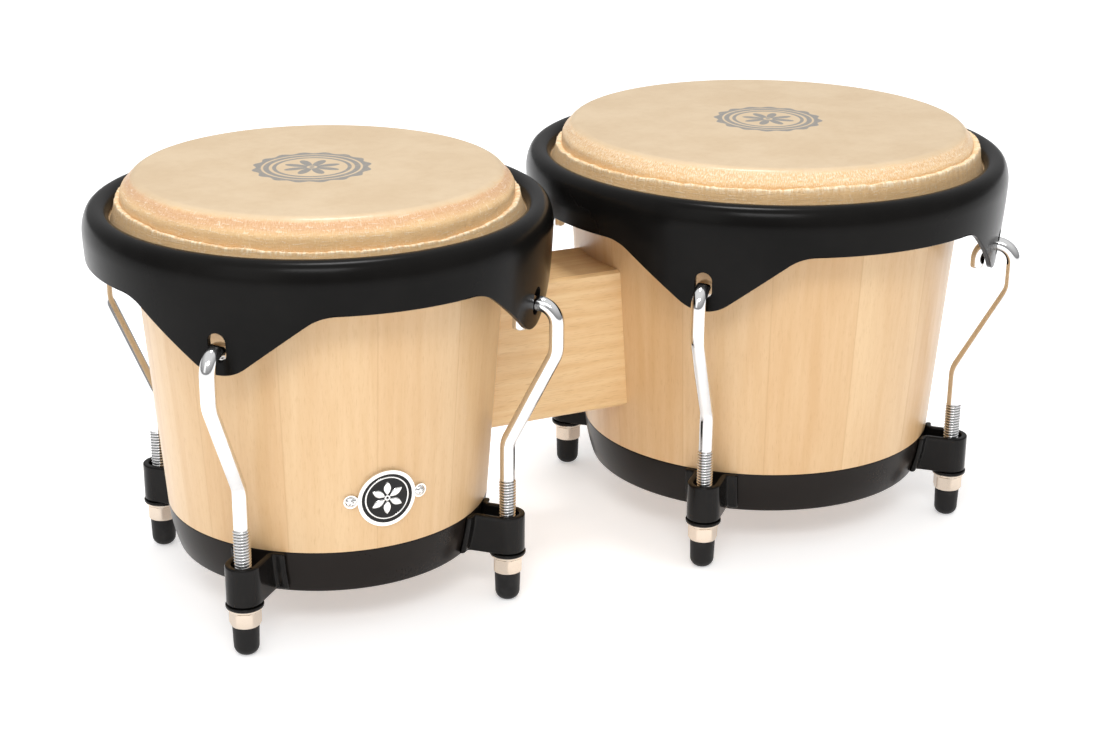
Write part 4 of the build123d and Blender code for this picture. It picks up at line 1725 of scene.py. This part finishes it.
    def build(self) -> None:
        """Makes the drum's four nuts, washers and feet."""
        nut, ring, boot = self.nut(), self.ring(), self.boot()
        for corner in Corner:
            place = f"{self.drum.name}_{corner.name}"
            grid = self.drum.stand(nut.grid, corner.value)
            piece = mesh_of(f"flanged_nut_{place}", [Skin(grid, rows_close=True)], crease=28.0)
            settle(piece, self.metal, f"nut_{place}", f"tuning_nut_{place}")
            grid = self.drum.stand(ring.grid, corner.value)
            piece = mesh_of(f"flat_washer_{place}", [Skin(grid, rows_close=True)], crease=60.0)
            settle(piece, self.black, f"nut_{place}", f"washer_{place}")
            grid = self.drum.stand(boot.grid, corner.value)
            piece = mesh_of(f"rubber_foot_{place}", [Skin(grid, poles=True)], crease=60.0)
            settle(piece, self.rubber, f"nut_{place}", f"foot_{place}")


@dataclass
class Badge:
    """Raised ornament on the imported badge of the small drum.

    Attributes:
        drum: the drum's plan.
        metal: what the ornament wears.
        angle: where the badge is on the drum, degrees.
        height: height of the badge's middle.
        face: how far the enamel's face stands out from the wood.
        rise: how far a leaf stands out from the enamel.
    """

    drum: DrumPlan
    metal: Finish
    angle: float = -91.0
    height: float = 63.5
    face: float = 1.4
    rise: float = 0.35

    def on_shell(self, across: Array, up: Array, out: Array) -> Array:
        """Places plan points of the badge on the curved shell: across turns, up climbs, out leaves it.

        Args:
            across, up, out: plan distances to the right, upwards and out of the wood.

        Returns:
            The points, about the drum's own axis.
        """
        z = self.height + up
        radius = self.drum.shell_radius(z) + out
        turn = math.radians(self.angle) + across / radius
        return np.stack([radius * np.cos(turn), radius * np.sin(turn), z], axis=-1)

    def leaf(self, turn: float, start: float, length: float, wide: float) -> Skin:
        """One pointed leaf: its half width is wide times the sine of the way along, to the power 0.8.

        The leaf's face is crowned across, and it sinks into the field at its outline.

        Args:
            turn: the leaf's direction from straight up, radians.
            start: its distance from the badge's middle.
            length: its length.
            wide: its greatest half width.

        Returns:
            The leaf's surface.
        """
        s = np.linspace(0.001, 0.999, 22)[:, None]
        t = np.arange(16) * (2 * np.pi / 16)
        half = wide * np.sin(np.pi * s) ** 0.8 + 0.02
        across = half * np.cos(t)
        along_leaf = start + length * s + 0 * t
        out = self.face + self.rise * np.sin(t) * np.minimum(half, 1.0)
        c, k = math.cos(turn), math.sin(turn)
        return Skin(self.on_shell(across * c + along_leaf * k, -across * k + along_leaf * c, out), poles=True)

    def bead_ring(self, radius: float, wire: float) -> Skin:
        """A thin raised ring on the field: a small circle carried round a larger one.

        Args:
            radius: the ring's radius.
            wire: its half width.

        Returns:
            The ring's surface.
        """
        s = (np.arange(72) * (2 * np.pi / 72))[:, None]
        t = np.arange(10) * (2 * np.pi / 10)
        far = radius + wire * np.cos(t) + 0 * s
        out = self.face + 0.6 * wire * np.sin(t) + 0 * s
        return Skin(self.on_shell(far * np.sin(s), far * np.cos(s), out), rows_close=True)

    def build(self) -> None:
        """Makes six leaves round a small ring, inside a thin ring."""
        leaves = [self.leaf(k * math.pi / 3, 1.3, 6.0, 1.5) for k in range(6)]
        skins = [*leaves, self.bead_ring(9.2, 0.35), self.bead_ring(0.9, 0.4)]
        for skin in skins:
            skin.grid = self.drum.stand(skin.grid)
        piece = mesh_of("badge_ornament", skins, crease=60.0)
        settle(piece, self.metal, "shells")


@dataclass
class Woodwork:
    """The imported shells, block and hidden steel, which keep their shape and get their finishes."""

    nodes: Mapping[str, bpy.types.Object]
    finishes: Mapping[str, Finish]

    def build(self) -> None:
        """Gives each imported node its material."""
        for node, finish in self.finishes.items():
            piece = self.nodes[node]
            piece.data.materials.clear()
            piece.data.materials.append(finish.material())
            LOG.info("%s: packed node, %s", node, finish.slot)


# ---------------------------------------------------------------- studio


@dataclass(frozen=True)
class Camera:
    """Where the camera stands, in metres and degrees."""

    place: tuple[float, float, float] = (-0.40057, -0.78933, 0.40095)
    yaw: float = 26.467
    pitch: float = 20.046
    roll: float = 0.435
    lens: float = 67.63

    def build(self) -> None:
        """Makes the scene's camera, aimed by yaw from +Y towards +X, pitch down and roll."""
        yaw, pitch, roll = (math.radians(v) for v in (self.yaw, self.pitch, self.roll))
        ahead = Vector(
            (math.sin(yaw) * math.cos(pitch), math.cos(yaw) * math.cos(pitch), -math.sin(pitch))
        )
        level = ahead.cross(Vector((0, 0, 1))).normalized()
        above = level.cross(ahead)
        right = math.cos(roll) * level + math.sin(roll) * above
        up = -math.sin(roll) * level + math.cos(roll) * above
        data = bpy.data.cameras.new("camera")
        data.lens = self.lens
        data.sensor_width = 36.0
        data.clip_start = 0.05
        camera = bpy.data.objects.new("camera", data)
        turn = Matrix((right, up, -ahead)).transposed().to_4x4()
        camera.matrix_world = Matrix.Translation(self.place) @ turn
        bpy.context.scene.collection.objects.link(camera)
        bpy.context.scene.camera = camera


@dataclass(frozen=True)
class SoftLight:
    """One large soft light: where it stands, what it faces, its size in metres and its power."""

    name: str
    place: tuple[float, float, float]
    aim: tuple[float, float, float]
    size: tuple[float, float]
    power: float
    shade: Colour = (1.0, 1.0, 1.0)

    def build(self) -> None:
        """Makes the light."""
        data = bpy.data.lights.new(self.name, "AREA")
        data.shape = "RECTANGLE"
        data.size, data.size_y = self.size
        data.energy = self.power
        data.color = self.shade
        lamp = bpy.data.objects.new(self.name, data)
        lamp.location = self.place
        lamp.rotation_euler = (Vector(self.aim) - Vector(self.place)).to_track_quat("-Z", "Y").to_euler()
        bpy.context.scene.collection.objects.link(lamp)


@dataclass
class Studio:
    """Pale floor, soft lights, even surroundings and the camera."""

    floor_half: float = 14.0
    lights: tuple[SoftLight, ...] = (
        SoftLight("overhead", (0.0, 0.05, 1.45), (0, 0, 0.1), (0.42, 0.26), 8.5),
        SoftLight("left_window", (-1.5, -0.9, 0.9), (0, 0, 0.12), (0.8, 1.2), 2.5),
        SoftLight("front_key", (-0.57, -1.12, 1.15), (0, 0, 0.12), (0.7, 0.35), 7.0),
    )

    def build(self) -> None:
        """Makes the floor, which lies just under the feet, the lights, the world and the camera."""
        half = self.floor_half / MM
        line = np.linspace(-half, half, 2)
        x, y = np.meshgrid(line, line)
        grid = np.stack([x, y, np.full_like(x, -0.05)], axis=-1)
        floor = mesh_of("floor", [Skin(grid, columns_close=False)], closed=False)
        floor.data.materials.append(Backdrop().material())
        for light in self.lights:
            light.build()
        self.surroundings()
        Camera().build()
        bpy.context.scene.view_settings.view_transform = "Standard"

    def surroundings(self) -> None:
        """A world that is bright overhead and darker towards the horizon."""
        world = bpy.data.worlds.new("studio")
        world.use_nodes = True
        bpy.context.scene.world = world
        nodes, links = world.node_tree.nodes, world.node_tree.links
        ground = nodes["Background"]
        where = nodes.new("ShaderNodeTexCoord")
        split = nodes.new("ShaderNodeSeparateXYZ")
        ramp = nodes.new("ShaderNodeValToRGB")
        links.new(where.outputs["Generated"], split.inputs[0])
        links.new(split.outputs["Z"], ramp.inputs[0])
        ramp.color_ramp.elements[0].position = 0.0
        ramp.color_ramp.elements[0].color = (0.28, 0.28, 0.285, 1)
        ramp.color_ramp.elements[1].position = 0.75
        ramp.color_ramp.elements[1].color = (0.95, 0.95, 0.95, 1)
        links.new(ramp.outputs[0], ground.inputs["Color"])
        ground.inputs["Strength"].default_value = 0.9


# ---------------------------------------------------------------- the whole pair


def main() -> None:
    """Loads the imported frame, builds and dresses each sub-assembly, and sets up the studio."""
    logging.basicConfig(level=logging.INFO, format="%(name)s: %(message)s")
    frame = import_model()
    slots = {m["slot"] for m in frame["record"]["materials"]}
    LOG.info("frame has %d nodes and %d material slots", len(frame["nodes"]), len(slots))

    rim_paint = Enamel("rim_enamel", Gloss.SATIN, tint(13, 12, 11))
    band_paint = Enamel("band_enamel", Gloss.SOFT, tint(27, 22, 19))
    lug_paint = Enamel("lug_enamel", Gloss.WET, tint(15, 13, 12), peel=0.00001)
    black = Enamel("washer_black", Gloss.WET, tint(12, 11, 10), peel=0.00001)
    chrome = Plate("rod_chrome", (0.79, 0.79, 0.79), 0.03, 0.08, shaded_grooves=True)
    nickel = Plate("nut_nickel", (0.69, 0.59, 0.49), 0.10, 0.12)
    steel = Plate("plain_steel", (0.55, 0.55, 0.56), 0.28, 0.2)
    bright = Plate("badge_metal", (0.86, 0.85, 0.83), 0.06, 0.1)
    fill = Enamel("badge_black", Gloss.WET, tint(34, 34, 34), peel=0.00001)
    rubber = Rubber("foot_rubber")

    small, large = DrumPlan.read("small"), DrumPlan.read("large")
    heads = (
        Head(
            small,
            edge_drop=6.2,
            slope_width=5.5,
            slope_drop=6.2,
            seed=11,
            lap_height=174.4,
            lap_tilt=2.0,
            lap_high=88.0,
            lap_fray=0.16,
            ledge=2.2,
            print_shift=(-2.6, 0.8),
            flushed=1.0,
            fuzzy=0.3,
        ),
        Head(
            large,
            edge_drop=5.0,
            slope_width=4.7,
            slope_drop=5.7,
            seed=29,
            lap_height=173.8,
            lap_tilt=2.6,
            lap_high=-86.0,
            lap_fray=0.22,
            ledge=2.8,
            print_shift=(1.8, 1.9),
            flushed=0.3,
            fuzzy=1.0,
        ),
    )
    rods = (Rod(small, chrome, hook_gap=3.725), Rod(large, chrome, hook_gap=2.525))
    woods = (
        StaveWood("shell_wood", small.name, small.axis, 12, -4.0, small.band_radius),
        StaveWood("shell_wood", large.name, large.axis, 14, 164.0, large.band_radius),
    )

    finishes: dict[str, Finish] = {"centre_block": BlockWood("block_wood")}
    for head, rod, wood in zip(heads, rods, woods):
        drum = head.drum
        Rim(drum, rim_paint).build()
        head.build()
        rod.build()
        Lug(drum, lug_paint).build()
        Band(drum, band_paint).build()
        NutAndFoot(drum, nickel, rubber, black).build()
        finishes[f"shell_{drum.name}"] = wood
        finishes[f"flesh_hoop_{drum.name}"] = steel
        finishes[f"block_saddle_{drum.name}"] = steel
    finishes |= {"block_bolts": steel, "block_nuts": steel, "badge_field": fill}
    finishes |= {"badge_plate": bright, "badge_screws": bright}
    Woodwork(frame["nodes"], finishes).build()
    Badge(small, bright).build()
    Studio().build()


if __name__ == "__main__":
    main()
